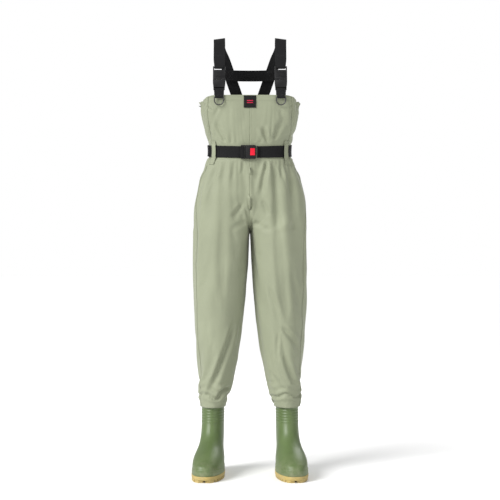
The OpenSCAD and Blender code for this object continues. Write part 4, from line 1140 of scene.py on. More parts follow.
def build_inner_tapes():
    """Welded tapes over all seams, the elastics in the hem's sides and the facing behind its front."""
    surface = cloth_surface()
    low, high, leg_top = row_at(LEG_END + 26), row_at(BIB_TOP - 26), row_at(CROTCH - 26)
    rows = (row_at(BIB_TOP - 30), row_at(BIB_TOP - 8))
    for side, end in SIDES:
        inner_strip(f"side_tape_{end}",
                    surface.patch(side, (low, high), (FRONT_COLS - 3, FRONT_COLS + 3), TAPE_IN),
                    (f"side_seam_tape_{end}",))
        front = surface.patch(side, (low, leg_top), (0, 3), TAPE_IN)
        back = surface.patch(side, (low, leg_top), (COLS - 3, COLS), TAPE_IN)
        inner_strip(f"inseam_weld_{end}", np.concatenate([back, front[:, 1:]], axis=1),
                    (f"inseam_tape_{end}",))
        c0, c1 = (int(column_at(BIB_TOP - 20, turn)) for turn in (56, 128))
        inner_strip(f"hem_elastic_{end}", surface.patch(side, rows, (c0, c1), -1.95),
                    (f"side_elastic_{end}",),
                    "sage elastic", 0.9)
    rows = (row_at(CROTCH + 60), high)
    left, right = (surface.patch(side, rows, (0, 3), TAPE_IN) for side in (1, -1))
    inner_strip("centre_tape_front", np.concatenate((right[:, ::-1], left[:, 1:]), axis=1),
                ("centre_seam_tape",))
    left, right = (surface.patch(side, rows, (COLS - 3, COLS), TAPE_IN) for side in (1, -1))
    inner_strip("centre_tape_back", np.concatenate((left, right[:, ::-1][:, 1:]), axis=1), ())
    rows, last = (row_at(BIB_TOP - 22), ROWS - 1), int(column_at(BIB_TOP - 20, 50))
    left, right = (surface.patch(side, rows, (0, last), -1.9) for side in (1, -1))
    inner_strip("hem_facing_front", np.concatenate((right[:, ::-1], left[:, 1:]), axis=1),
                ("front_hem_facing",),
                "cloth lining", 0.4, every=1)


def build_garment_stitches():
    """Two rows of stitches round the hem, and one beside each side seam of the bib and of the seat."""
    surface = cloth_surface()
    lines = [[(r, c, 0.85) for c in np.arange(0.5, COLS, 1.0)] for r in (ROWS - 1.2, ROWS - 5.4)]
    for low, high in ((row_at(BELT_HIGH + 4), ROWS - 7), (row_at(CROTCH - 120), row_at(BELT_LOW - 4))):
        lines.append([(r, FRONT_COLS + 2.1, 1.02) for r in np.arange(low, high, 2.0)])
    for side, end in SIDES:
        bm = bmesh.new()
        for line in lines:
            pairs = [surface.at(side, r, c, lift) for r, c, lift in line]
            stitch_line(bm, [p * MM for p, _ in pairs], [n for _, n in pairs], pitch=4.2, length=3.0)
        thread_piece(f"hem_stitches_{end}", bm, "garment", "sage thread")


def build_label():
    """Square woven patch with a turned border, a plain two-bar mark and a sewn edge."""
    surface = cloth_surface()
    low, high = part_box("label_patch")
    half, cz = (high.x - low.x) / 2 / MM, (high.z + low.z) / 2 / MM
    n = 28
    k = np.linspace(-1, 1, n + 1)
    points = np.zeros((n + 1, n + 1, 3))
    ys = [surface.front_at(x * half, cz + z * half)[0][1] for x in (-1, -0.5, 0, 0.5, 1)
          for z in (-1, 0, 1)]
    y0 = min(ys) - 1.9
    for r, z in enumerate(k):
        for c, x in enumerate(k):
            p = surface.front_at(x * half, cz + z * half, 1.0)[0]
            border = max(abs(x), abs(z)) > 0.86
            points[r, c] = (x * half, mix(p[1], y0, 0.6) - (0.45 if border else 0.0), cz + z * half)
    mesh = sheet_mesh("label_cloth", points * MM)
    piece = new_piece("label_patch_cloth", mesh, "garment", ["label weave"], ("label_patch",))
    thicken(piece, 1.1, offset=-0.2)
    round_edges(piece, 0.35, 2, 50)
    y = float(points[:, :, 1].min()) + 0.35
    low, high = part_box("label_mark")
    bars = bmesh.new()
    for top in (False, True):
        z0, z1 = ((high.z - 0.0032) / MM, high.z / MM) if top else (low.z / MM, (low.z + 0.0032) / MM)
        beveled_box(bars, (low.x / MM, y - 0.75, z0), (high.x / MM, y + 0.3, z1), 0.5, 3)
    uv = bars.loops.layers.uv.new("cloth")
    for f in bars.faces:
        for loop in f.loops:
            loop[uv].uv = (loop.vert.co.x, loop.vert.co.z)
    new_piece("label_bars", finish_mesh(bars, "label_bars"), "garment", ["satin stitch"],
              ("label_mark",))
    bm = bmesh.new()
    box_stitch(bm, (0, y - 0.1, cz), (1, 0, 0), (0, 0, 1), (0, -1, 0), 2 * half * 0.92, 2 * half * 0.92,
               cross=False)
    thread_piece("label_stitches", bm, "garment", "black thread")


# ---- Shoulder straps and buckles ----

UP = np.array([0, math.sin(math.radians(LEAN)), math.cos(math.radians(LEAN))])
FACE = np.array([0, -math.cos(math.radians(LEAN)), math.sin(math.radians(LEAN))])
X = np.array([1.0, 0, 0])
REAR = np.array([0, 1.0, 0])
MOUTH = np.array([STRAP_X, AXIS_Y - CHEST[1] + 6 + 50 * math.tan(math.radians(LEAN)), BIB_TOP + 50])
ARCH_Z = BIB_TOP + STRAP_RISE - STRAP_T / 2 - SHOULDER_R
FRONT_RUN = (ARCH_Z + SHOULDER_R * math.sin(math.radians(LEAN)) - MOUTH[2]) / math.cos(math.radians(LEAN))
ARCH_Y = MOUTH[1] + FRONT_RUN * math.sin(math.radians(LEAN)) + SHOULDER_R * math.cos(math.radians(LEAN))
BACK_FOOT = np.array([31.0, AXIS_Y + CHEST[2] + STRAP_T / 2 + 1.3, BACK_TOP + 10])
BACK_LEAN = math.degrees(math.atan2(BACK_FOOT[1] - ARCH_Y - SHOULDER_R, ARCH_Z - BACK_FOOT[2]))
BACK_FACE = np.array([0, math.cos(math.radians(BACK_LEAN)), math.sin(math.radians(BACK_LEAN))])
BACK_START = np.array([STRAP_X + 2, ARCH_Y, ARCH_Z]) + SHOULDER_R * BACK_FACE
BACK_WAY = (BACK_FOOT - BACK_START) / np.linalg.norm(BACK_FOOT - BACK_START)
BACK_WIDTH = np.cross(BACK_WAY, BACK_FACE)
BAR = MOUTH + UP * (MALE_L - 3)
RING_BAR = np.array([STRAP_X, AXIS_Y - CHEST[1] - 2.6, BIB_TOP - 8])
ANCHOR_BAR = MOUTH - UP * (FEMALE_L - 1.5)


def arch(angle):
    """Station of the left strap on its way over the shoulder, from the front (LEAN) to the back."""
    t = (angle - LEAN) / (180 - BACK_LEAN - LEAN)
    a = math.radians(angle)
    face = np.array([0, -math.cos(a), math.sin(a)])
    middle = np.array([STRAP_X + 2 * t, ARCH_Y, ARCH_Z]) + SHOULDER_R * face
    width = mix(X, BACK_WIDTH, float(ease(t)))
    return [middle, width / np.linalg.norm(width), face, STRAP_W]


def mirrored(path, side):
    """The path itself on the left, and its mirror image, with the widths turned too, on the right."""
    flip = np.array([side, 1, 1])
    return [(c * flip, w * np.array([1, side, side]) if side < 0 else w, f * flip, wide)
            for c, w, f, wide in path]


def side_path(stations, side, per=6):
    return mirrored(path_points(stations, per), side)


def build_straps():
    """Elastic straps over the shoulders, the cross strap and the patch that holds the back ends."""
    elastic, stitches = "elastic webbing", {}
    patch_node_low, patch_node_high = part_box("back_anchor_patch")
    for side, end in SIDES:
        turn_r = BAR_R + 0.4 + STRAP_T / 2
        neck = 31.0
        front = [arch(a) for a in np.linspace(91, LEAN, 13)]
        front += [[BAR + UP * mix(FRONT_RUN - (MALE_L - 3), 30, k), X, FACE, STRAP_W]
                  for k in (0.25, 0.5, 0.75, 1)]
        front += [[BAR + UP * 17 + FACE * turn_r * 0.35, X, FACE, STRAP_W - 2],
                  [BAR + UP * 6 + FACE * turn_r * 0.92, X, FACE, neck]]
        for a in range(0, 181, 20):
            f = math.cos(math.radians(a)) * FACE - math.sin(math.radians(a)) * UP
            front.append([BAR + f * turn_r, X, f, neck])
        front += [[BAR + UP * 14 - FACE * (turn_r + 0.3), X, -FACE, STRAP_W - 3],
                  [BAR + UP * 34 - FACE * (turn_r - 0.4), X, -FACE, STRAP_W - 1],
                  [BAR + UP * 58 - FACE * (turn_r - 1.2), X, -FACE, STRAP_W]]
        piece = strap_piece(f"shoulder_strap_front_{end}", side_path(front, side, 4), STRAP_T, None,
                            elastic,
                            (f"strap_front_{end}",), across=10, crown=0.25)
        low = (BAR + UP * 8) * np.array([side, 1, 1]) * MM
        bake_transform(piece)
        back = [arch(a) for a in np.linspace(91, 180 - BACK_LEAN, 13)]
        back += [[mix(BACK_START, BACK_FOOT, k), BACK_WIDTH, BACK_FACE, STRAP_W]
                 for k in (0.25, 0.5, 0.75, 0.97)]
        flat = np.array([BACK_WIDTH[0], 0, BACK_WIDTH[2]])
        flat /= np.linalg.norm(flat)
        down = BACK_FOOT + 12 * np.array([BACK_WAY[0], 0, BACK_WAY[2]])
        back += [[down + [0, 0.6, 0], flat, REAR, STRAP_W],
                 [down + [-1, 0.6, -15], mix(flat, X, 0.6), REAR, STRAP_W],
                 [down + [-1, 0.4, -31], X, REAR, STRAP_W]]
        strap_piece(f"shoulder_strap_back_{end}", side_path(back, side, 5), STRAP_T, "garment", elastic,
                    (f"strap_back_{end}",), across=10, crown=0.25)
        bm = bmesh.new()
        flip = np.array([side, 1, 1])
        seam_at = BAR + UP * 50
        for lift in (-2.5, 0.5):
            behind = seam_at + UP * lift - FACE * (turn_r - 1.0 + STRAP_T / 2)
            line = [(behind + X * k * 15) * flip * MM for k in (-1, 1)]
            stitch_line(bm, line, [-FACE * flip] * 2, lift=0.1)
            before = seam_at + UP * (lift - 6) + FACE * (STRAP_T / 2 + 0.1)
            line = [(before + X * k * 16) * flip * MM for k in (-1, 1)]
            stitch_line(bm, line, [FACE * flip] * 2, lift=0.15)
        stitches[end] = bm
    # Cross strap, with its ends sewn flat to the back straps.
    cross_low, cross_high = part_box("cross_strap")
    reach = mix(BACK_FOOT[0], BACK_START[0], 0.58) - STRAP_W * 0.3 + STRAP_W / 2
    mid = np.array([0, (cross_low.y + cross_high.y) / 2 / MM, (cross_low.z + cross_high.z) / 2 / MM])
    tilt = np.array([0, -math.sin(math.radians(BACK_LEAN)), math.cos(math.radians(BACK_LEAN))])
    path = []
    for k in np.linspace(-1, 1, 9):
        sag = -1.5 * (1 - k * k)
        path.append([mid + [k * reach, 0, sag], tilt, BACK_FACE, STRAP_W])
    strap_piece("cross_strap_webbing", path_points(path, 4), STRAP_T, "garment", elastic, ("cross_strap",),
                across=10)
    bm = bmesh.new()
    for side in (1, -1):
        at = mid + [side * (reach - 14), 0, 0] - BACK_FACE * (STRAP_T / 2 + 0.15)
        box_stitch(bm, at, X, tilt, -BACK_FACE, 17, 27)
        at = at + BACK_FACE * (2 * STRAP_T + 0.5 + 0.45)
        box_stitch(bm, at, X, tilt, BACK_FACE, 17, 27)
    # Patch behind: rounded corners, sewn edge and a cross over each strap end.
    low, high = patch_node_low / MM, patch_node_high / MM
    nx, nz = 44, 18
    points = np.zeros((nz + 1, nx + 1, 3))
    for r in range(nz + 1):
        for c in range(nx + 1):
            x, z = mix(low[0], high[0], c / nx), mix(low[2], high[2], r / nz)
            over = math.exp(-((abs(x) - TAIL_X) / 17.5) ** 8) * float(ease((z - low[2] + 2) / 8))
            edge = min(x - low[0], high[0] - x, z - low[2], high[2] - z)
            sink = 1.8 * (1 - over) + (0.0 if edge > 1 else 0.3)
            points[r, c] = (x, high[1] - sink, z)
    mesh = sheet_mesh("anchor_patch", points[:, ::-1] * MM)
    piece = new_piece("back_patch_cloth", mesh, "garment", ["sage cloth"], ("back_anchor_patch",))
    thicken(piece, 1.1, offset=-1.0)
    round_edges(piece, 0.3, 2, 50)
    sage = bmesh.new()
    centre = (low + high) / 2
    back_y = high[1] + 0.1
    box_stitch(sage, (centre[0], back_y - 1.0, centre[2]), X, (0, 0, 1), (0, 1, 0), high[0] - low[0] - 6,
               high[2] - low[2] - 5, cross=False)
    for side in (1, -1):
        box_stitch(sage, (side * TAIL_X, back_y, centre[2]), X, (0, 0, 1), (0, 1, 0), 28, 22)
    thread_piece("back_patch_stitches", sage, "garment", "sage thread")
    thread_piece("cross_strap_stitches", bm, "garment", "black thread")
    for end, bm in stitches.items():
        thread_piece(f"strap_tail_stitches_{end}", bm, f"prong_{end}", "black thread")


def build_shoulder_buckles():
    """Side-release buckles with their latches, the webbing that anchors them and the rings on the bib."""
    surface = cloth_surface()
    bevel = bpy.context.scene.waders_webbing.bevel / MM
    plastic, latch, webbing = "black plastic", "latch plastic", "black webbing"
    for side, end in SIDES:
        flip = np.array([side, 1, 1])
        refined(f"buckle_male_{end}", f"prong_half_{end}", bevel, plastic, f"prong_{end}")
        refined(f"buckle_female_{end}", f"socket_half_{end}", bevel, plastic, "garment")
        for where in ("outer", "inner"):
            refined(f"latch_{where}_{end}", f"latch_arm_{where}_{end}", bevel * 0.8, latch,
                    f"latch_{where}_{end}")
        # Anchor webbing: up from inside the bib, round the socket's bar and down in front.
        turn_r = 1.5 * math.sqrt(2) + 0.8 + 0.1
        inside = [max(surface.front_at(side * (STRAP_X + k), BIB_TOP - d, -2.9)[0][1]
                      for k in (-16, 0, 16.5))
                  for d in (44, 32, 20, 8)]
        path = [[np.array([STRAP_X, y, BIB_TOP - d]), X, REAR, ANCHOR_W]
                for y, d in zip(inside, (44, 32, 20, 8))]
        path.append([np.array([STRAP_X, inside[-1] + 0.3, BIB_TOP + 2]), X, REAR, ANCHOR_W])
        for a in range(0, 181, 20):
            f = math.sin(math.radians(a)) * UP - math.cos(math.radians(a)) * FACE
            path.append([ANCHOR_BAR + f * turn_r, X, f, ANCHOR_W])
        path.append([ANCHOR_BAR - UP * 8 + FACE * turn_r * 0.7, X, FACE, ANCHOR_W])
        strap_piece(f"socket_webbing_{end}", side_path(path, side, 4), ANCHOR_T, "garment", webbing,
                    (f"anchor_webbing_{end}",), across=8)
        # Ring loop: down over the bib's edge, round the ring's bar and back up behind it.
        bore = 1.9 + 0.1 + 0.75
        sewn = ANCHOR_BAR - UP * 1 + FACE * (turn_r + 1.7)
        front = -REAR
        loop = [[sewn, X, FACE, 34.0], [ANCHOR_BAR - UP * 12 + FACE * (turn_r + 1.2), X, FACE, 32.5],
                [np.array([STRAP_X, RING_BAR[1] - 1.2, BIB_TOP + 4]), X, mix(FACE, front, 0.7), 29.5],
                [np.array([STRAP_X, RING_BAR[1] - bore, RING_BAR[2] + 4]), X, front, 26.5]]
        for a in range(0, 181, 20):
            f = np.array([0, -math.cos(math.radians(a)), -math.sin(math.radians(a))])
            loop.append([RING_BAR + f * bore, X, f, 25.0])
        loop.append([np.array([STRAP_X, RING_BAR[1] + bore * 0.2, RING_BAR[2] + 7]), X, REAR, 25.0])
        strap_piece(f"ring_loop_{end}", side_path(loop, side, 4), RING_LOOP_T, "garment", webbing,
                    (f"ring_keeper_{end}",),
                    across=8)
        bm = bmesh.new()
        at = ANCHOR_BAR - UP * 14 + FACE * (turn_r + 1.2 + 0.85)
        box_stitch(bm, at * flip, X, UP, FACE, 24, 14)
        for z in (4.6, 7.0):
            ends = [(side * STRAP_X + k * 11.5, RING_BAR[1] - bore - 0.8, RING_BAR[2] + z) for k in (-1, 1)]
            stitch_line(bm, np.array(ends) * MM, [front] * 2, lift=0.2)
        thread_piece(f"ring_loop_stitches_{end}", bm, "garment", "black thread")
        refined(f"d_ring_{end}", f"ring_{end}", 0, "coated ring wire", f"d_ring_{end}")


# ---- Waist belt ----

def belt_angle(x):
    """Angle from the front middle, in degrees, of a sideways place on the belt."""
    return math.degrees(math.asin(max(-1.0, min(1.0, x / (WAIST[0] / 2 * 1.02)))))


def round_waist(angles, gap, half_width, rows=8):
    """Points round the waist at a gap outside the cloth; negative angles lie on the wearer's right."""
    z = np.linspace(BELT_Z - half_width, BELT_Z + half_width, rows + 1)
    out = np.zeros((rows + 1, len(angles), 3))
    for c, a in enumerate(angles):
        a = (a + 180) % 360 - 180
        p = body(z, abs(a), -gap)
        p[:, 0] *= 1 if a >= 0 else -1
        out[:, c] = p
    return out


def belt_strip(name, angles, gap, half_width, body_name, stands_for):
    """Webbing that follows the waist between two angles."""
    points = round_waist(angles, gap + BELT_T / 2, half_width)
    mesh = sheet_mesh(name, points * MM)
    piece = new_piece(name, mesh, body_name, ["black webbing"], stands_for)
    thicken(piece, BELT_T, offset=0.0)
    round_edges(piece, 0.5, 2, 50)
    return piece


def belt_loop(name, side, turn, node):
    """Cloth loop over the belt, with its stitches: narrow over the webbing, wider where it is sewn below."""
    surface = cloth_surface()
    half = LOOP_W / 2 / (WAIST[0] / 2) * 57
    stand = BELT_GAP + 2 * BELT_T + 1.0
    top, low = BELT_Z + BELT_W / 2 + LOOP_OVER, BELT_Z - BELT_W / 2 - LOOP_OVER - 8
    profile = ((low, 1.1, 1.18), (low + 11, 1.2, 1.14), (BELT_Z - BELT_W / 2 - 9, 2.6, 1.04),
               (BELT_Z - BELT_W / 2 + 1, stand, 0.95), (BELT_Z, stand + 0.7, 0.9),
               (BELT_Z + BELT_W / 2 - 1, stand, 0.9),
               (BELT_Z + BELT_W / 2 + 6, 2.4, 0.94), (top - 6, 1.2, 1.0), (top, 1.1, 1.0))
    levels = np.linspace(low, top, 45)
    lift = np.interp(levels, [p[0] for p in profile], [p[1] for p in profile])
    wide = np.interp(levels, [p[0] for p in profile], [p[2] for p in profile])
    for _ in range(2):
        lift[1:-1] = (lift[:-2] + 2 * lift[1:-1] + lift[2:]) / 4
    u = np.linspace(-1, 1, 13)
    points, out = np.zeros((len(levels), len(u), 3)), np.zeros((len(levels), len(u), 3))
    for r, z in enumerate(levels):
        for c, k in enumerate(u):
            a = turn + half * wide[r] * k
            points[r, c], out[r, c] = surface.sample(side, z, a, lift[r] + (0.35 if abs(k) > 0.8 else 0.0))
    mesh = sheet_mesh(name, points * MM, flip=side < 0)
    piece = new_piece(name, mesh, "garment", ["sage cloth"], (node,))
    thicken(piece, 1.3, offset=1.0)
    round_edges(piece, 0.35, 2, 50)
    bm = bmesh.new()
    for r in (2, 7, len(levels) - 3, len(levels) - 6):
        line = points[r, 1:-1] + out[r, 1:-1] * 1.35
        stitch_line(bm, line * MM, out[r, 1:-1], pitch=3.0, length=2.2)
    for c in (1, len(u) - 2):
        line = points[1:-1, c] + out[1:-1, c] * 1.45
        stitch_line(bm, line * MM, out[1:-1, c], pitch=3.4, length=2.5)
    thread_piece(name + "_stitches", bm, "garment", "sage thread")


def build_belt():
    """Webbing round the waist with its sewn end and its tail, the run into the tongue, and four loops."""
    _, socket_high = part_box("belt_socket_front")
    wrap = socket_high.x / MM + 2
    start, stop = belt_angle(wrap), 360 - belt_angle(LOOP_FRONT_X - LOOP_W / 2 - 4)
    belt_strip("waist_belt", np.linspace(start - 1.5, stop, 150), BELT_GAP, BELT_W / 2, "garment",
                            ("belt_webbing",))
    run = belt_strip("belt_run",
                     np.linspace(-belt_angle(LOOP_FRONT_X - LOOP_W / 2 - 4.4), -belt_angle(33), 30),
                     BELT_GAP, BELT_W / 2, None, ("belt_left_run",))
    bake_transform(run)
    a0, a1 = (360 - belt_angle(LOOP_FRONT_X + LOOP_W / 2 + k) for k in (36, 6))
    belt_strip("belt_end", np.linspace(a0 - 1, a1, 16), BELT_GAP + BELT_T + 0.4, BELT_W / 2 - 1, "garment",
               ("belt_tail",))
    bm = bmesh.new()
    edge = round_waist(np.linspace(start + 3.5, start + 8, 6), BELT_GAP + BELT_T + 0.1, BELT_W / 2 - 4)
    for c in (0, 3):
        stitch_line(bm, edge[:, c] * MM, [np.array([0.2, -1.0, 0])] * len(edge), lift=0.1)
    tail = round_waist(np.linspace(a0 - 1, a1, 6), BELT_GAP + 2 * BELT_T + 0.5, BELT_W / 2 - 5)
    stitch_line(bm, tail[:, 4] * MM, [tail[4, 4] / np.linalg.norm(tail[4, 4])] * len(tail), lift=0.1)
    thread_piece("belt_stitches", bm, "garment", "black thread")
    front, back = belt_angle(LOOP_FRONT_X), 180 - belt_angle(LOOP_BACK_X)
    for side, end in SIDES:
        belt_loop(f"front_loop_{end}", side, front, f"belt_loop_front_{end}")
        belt_loop(f"back_loop_{end}", side, back, f"belt_loop_back_{end}")


def build_belt_buckle():
    """Centre-release buckle: shell, tongue, webbing over its bars, button with grip ribs and its spring."""
    bevel = bpy.context.scene.waders_webbing.bevel / MM
    plastic = "black plastic"
    refined("belt_socket_front", "belt_shell_front", bevel * 1.5, plastic, "garment", 4)
    refined("belt_socket_back", "belt_shell_back", bevel, plastic, "garment")
    refined("belt_tongue", "belt_tongue_plate", bevel * 1.3, plastic, "belt_tongue", 4)
    bm = bmesh.new()
    low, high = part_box("belt_button")
    low, high = low / MM, high / MM
    beveled_box(bm, (low[0], low[1], low[2]), (high[0], high[1] - 3.5, high[2]), 0.8, 4)
    for k in range(5):
        z = mix(low[2], high[2], (k + 1.5) / 7)
        beveled_box(bm, (low[0] + 3, low[1] - 0.35, z - 0.5), (high[0] - 3, low[1] + 0.5, z + 0.5), 0.3, 2)
    stem = Vector(((low[0] + high[0]) / 2, high[1] - 1.9, (low[2] + high[2]) / 2)) * MM
    bmesh.ops.create_cone(bm, cap_ends=True, segments=24, radius1=1.4 * MM, radius2=1.4 * MM,
                          depth=3.6 * MM,
                          matrix=Matrix.Translation(stem) @ Matrix.Rotation(math.pi / 2, 4, "X"))
    piece = new_piece("release_button", finish_mesh(bm, "release_button"), "belt_button",
                      ["red button"],
                      ("belt_button",))
    piece.data.set_sharp_from_angle(angle=math.radians(35))
    spring = refined("belt_button_spring", "button_spring", 0, "spring wire", "garment")
    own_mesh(spring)
    low, high = (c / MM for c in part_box("belt_tongue_webbing"))
    mid_z, half = (low[2] + high[2]) / 2, (high[2] - low[2]) / 2
    back_y, front_y = high[1] - 0.9, low[1] + 0.7
    z_up = np.array([0, 0, 1.0])
    x0 = low[0]
    stations = [(x0 - 0.5, back_y, (0, -1, 0)), (x0 + 4, back_y, (0, -1, 0)),
                (x0 + 7.2, back_y - 0.5, (-0.5, -1, 0)),
                (x0 + 8.5, mix(back_y, front_y, 0.35), (-1, -0.2, 0)),
                (x0 + 8.9, mix(back_y, front_y, 0.7), (-1, -0.2, 0)),
                (x0 + 9.8, front_y + 0.1, (-0.5, -1, 0)), (x0 + 12.5, front_y, (0, -1, 0)),
                (x0 + 15.5, front_y, (0, -1, 0))]
    path = [[np.array([x, y, mid_z]), z_up, np.array(f, float) / np.linalg.norm(f), 2 * half]
            for x, y, f in stations]
    strap_piece("tongue_webbing", path_points(path, 4), 1.5, "belt_tongue", "black webbing",
                ("belt_tongue_webbing",), across=8)


# ---- Boots ----

# By share of the boot's height: how far toe, heel and width have gone from the shaft's to the foot's.
FOOT = np.array([[0, 0.99, 0.7, 0.96], [0.06, 1, 1, 1], [0.13, 0.98, 1, 1], [0.18, 0.9, 0.95, 0.95],
                 [0.235, 0.77, 0.7, 0.74], [0.29, 0.6, 0.35, 0.44], [0.345, 0.42, 0.2, 0.22],
                 [0.41, 0.27, 0.15, 0.1],
                 [0.49, 0.15, 0.1, 0.03], [0.58, 0.08, 0, 0], [0.7, 0.03, 0, -0.03], [0.85, 0, 0, 0],
                 [1, 0, 0, 0]])


# Rings of the welt from the tread up: height, and how far out past the foot. The groove is at 13 mm.
WELT = ((TREAD - 0.2, -6.0), (TREAD, 0.9), (TREAD + 0.7, 1.9), (TREAD + 1.6, 2.3), (12.6, 2.5), (13.0, 2.0),
        (13.6, 2.0), (14.0, 2.5), (18.2, 2.6), (19.2, 2.3), (19.9, 1.5), (19.9, -5.0))
WELT_SHARE = 0.06
BOOT_LEVELS = np.concatenate([np.linspace(SOLE_TOP + 0.2, 70, 46), np.linspace(71.5, 166, 52),
                              np.linspace(167, 216, 66), np.linspace(218, BOOT_TOP, 10)])


def boot_section(share, angles, grow=0.0):
    """Outline of the boot at a share of its height: sideways and forwards, in the boot's own frame."""
    toe_share = read_table(FOOT, share, 1)
    toe = mix(SHAFT[1] / 2, TOE_REACH, toe_share) + grow
    heel = mix(SHAFT[1] / 2, HEEL_REACH, read_table(FOOT, share, 2)) + grow
    half = mix(SHAFT[0] / 2, FOOT_W / 2, read_table(FOOT, share, 3)) + grow
    mid, long = (heel - toe) / 2, (heel + toe) / 2
    n = mix(2, 2.5, np.clip(toe_share, 0, 1))
    narrow = 0.26 * ease(toe_share)
    r = rounded(angles, n)
    c = np.cos(angles) * r
    return half * np.sin(angles) * r * (1 - narrow * ease((0.35 - c) / 1.1)), mid - long * c


def boot_place(x, y, side):
    """From the boot's own frame to the object's frame, turned out at the toe."""
    t = math.radians(TOE_OUT)
    px, py = BOOT_X + x * math.cos(t) - y * math.sin(t), AXIS_Y + x * math.sin(t) + y * math.cos(t)
    return px * side, py


def boot_grid(heights, cols, side, extra, grow=0.0):
    """Closed grid of points round the boot; extra(angle, z) adds moulded relief in millimetres."""
    out = np.zeros((len(heights), cols + 1, 3))
    angles = np.linspace(0, 2 * math.pi, cols + 1) + math.pi / 2
    for r, z in enumerate(heights):
        share = (z - SOLE_TOP) / (BOOT_TOP - SOLE_TOP)
        x, y = boot_section(np.full(cols + 1, share), angles, grow + extra(angles, z))
        px, py = boot_place(x, y, side)
        out[r] = np.stack([px, py, np.full(cols + 1, z)], axis=1)
    return out


def boot_relief(ribs):
    """Relief of the moulded upper: ribs round the shaft, rand over the sole, toe cap, seam and heel kick."""
    def relief(angles, z):
        h = np.zeros_like(angles)
        for k in range(ribs):
            h += 0.9 * math.exp(-((z - FIRST_RIB - RIB_PITCH * k) / 1.9) ** 4)
        h += 0.8 * float(ease((z - 214) / 3))
        rand_top = 37 + 4 * np.cos(angles) ** 3
        h += 1.5 * (1 - ease((z - rand_top + 1.5) / 3))
        h += 0.7 * (1 - ease((z - rand_top + 9.5) / 2.2))
        cap = 62 - 4 * np.abs(np.sin(angles)) * 3
        front = ease((np.cos(angles) - 0.55) / 0.12)
        h += 0.45 * front * (1 - ease((z - cap + 1.2) / 2.4)) * float(ease((z - 30) / 10))
        seam = float(ease((z - 46) / 10)) * float(1 - ease((z - 160) / 6))
        h += 0.5 * np.exp(-(np.sin(angles) * SHAFT[1] / 2 / 1.5) ** 2) * seam
        kick = np.exp(-((z - 50) / 4.5) ** 2) * ease((-np.cos(angles) - 0.55) / 0.2)
        return h + 1.6 * kick
    return relief


def build_boots():
    """Boot uppers with moulded relief, the weld bands inside the legs and the loose insoles."""
    ribs = bpy.context.scene.waders_boots.ribs
    for side, end in SIDES:
        points = boot_grid(BOOT_LEVELS, 144, side, boot_relief(ribs))
        mesh = sheet_mesh(f"boot_{end}", points * MM, flip=side < 0, closed=True)
        bm = bmesh.new()
        bm.from_mesh(mesh)
        bmesh.ops.recalc_face_normals(bm, faces=bm.faces)
        mesh = finish_mesh(bm, f"boot_{end}")
        if mean_outward(mesh, side) < 0:
            mesh.flip_normals()
        piece = new_piece(f"boot_{end}", mesh, "garment", ["boot rubber"], (f"boot_upper_{end}",))
        thicken(piece, 2.8)
        band_z = np.linspace(LEG_END + 3, BOOT_TOP - 4, 7)
        band = boot_grid(band_z, 72, side, lambda a, z: 0.0 * a, 1.5)
        mesh = sheet_mesh(f"weld_{end}", band * MM, closed=True)
        if mean_outward(mesh, side) < 0:
            mesh.flip_normals()
        piece = new_piece(f"boot_weld_{end}", mesh, "garment", ["welded tape"],
                          (f"weld_band_{end}",))
        thicken(piece, 0.5)
        refined(f"boot_insole_{end}", f"insole_{end}", 0.8, "insole foam", "garment")


def mean_outward(mesh, side):
    """Positive where a boot's faces point away from the boot's own axis."""
    axis = Vector((BOOT_X * MM * side, (AXIS_Y - 30) * MM, 0))
    total = 0.0
    for f in mesh.polygons:
        d = Vector((f.center.x - axis.x, f.center.y - axis.y, 0))
        total += f.normal.dot(d)
    return total


def build_outsoles():
    """Gum outsoles: a rounded welt with a fine groove, and a tread of separate beveled cleats."""
    angles = np.linspace(0, 2 * math.pi, 145)[:-1]
    for side, end in SIDES:
        bm = bmesh.new()
        loops = []
        for z, grow in WELT:
            x, y = boot_section(np.full(len(angles), WELT_SHARE), angles, grow)
            px, py = boot_place(x, y, side)
            made = bmesh.ops.create_circle(bm, segments=len(angles), radius=1)["verts"]
            for v, a, b in zip(made, px, py):
                v.co = Vector((a, b, z)) * MM
            loops.append({e for v in made for e in v.link_edges})
        for low, high in zip(loops[:-1], loops[1:]):
            bmesh.ops.bridge_loops(bm, edges=list(low | high))
        bmesh.ops.holes_fill(bm, edges=list(loops[0] | loops[-1]), sides=0)
        bmesh.ops.recalc_face_normals(bm, faces=bm.faces)
        for f in bm.faces:
            f.smooth = True
        add_cleats(bm, side)
        for v in bm.verts:
            v.co.z = max(v.co.z, 0.0)
        mesh = finish_mesh(bm, f"outsole_{end}")
        mesh.set_sharp_from_angle(angle=math.radians(38))
        new_piece(f"outsole_tread_{end}", mesh, "garment", ["gum rubber"],
                  (f"boot_outsole_{end}",))


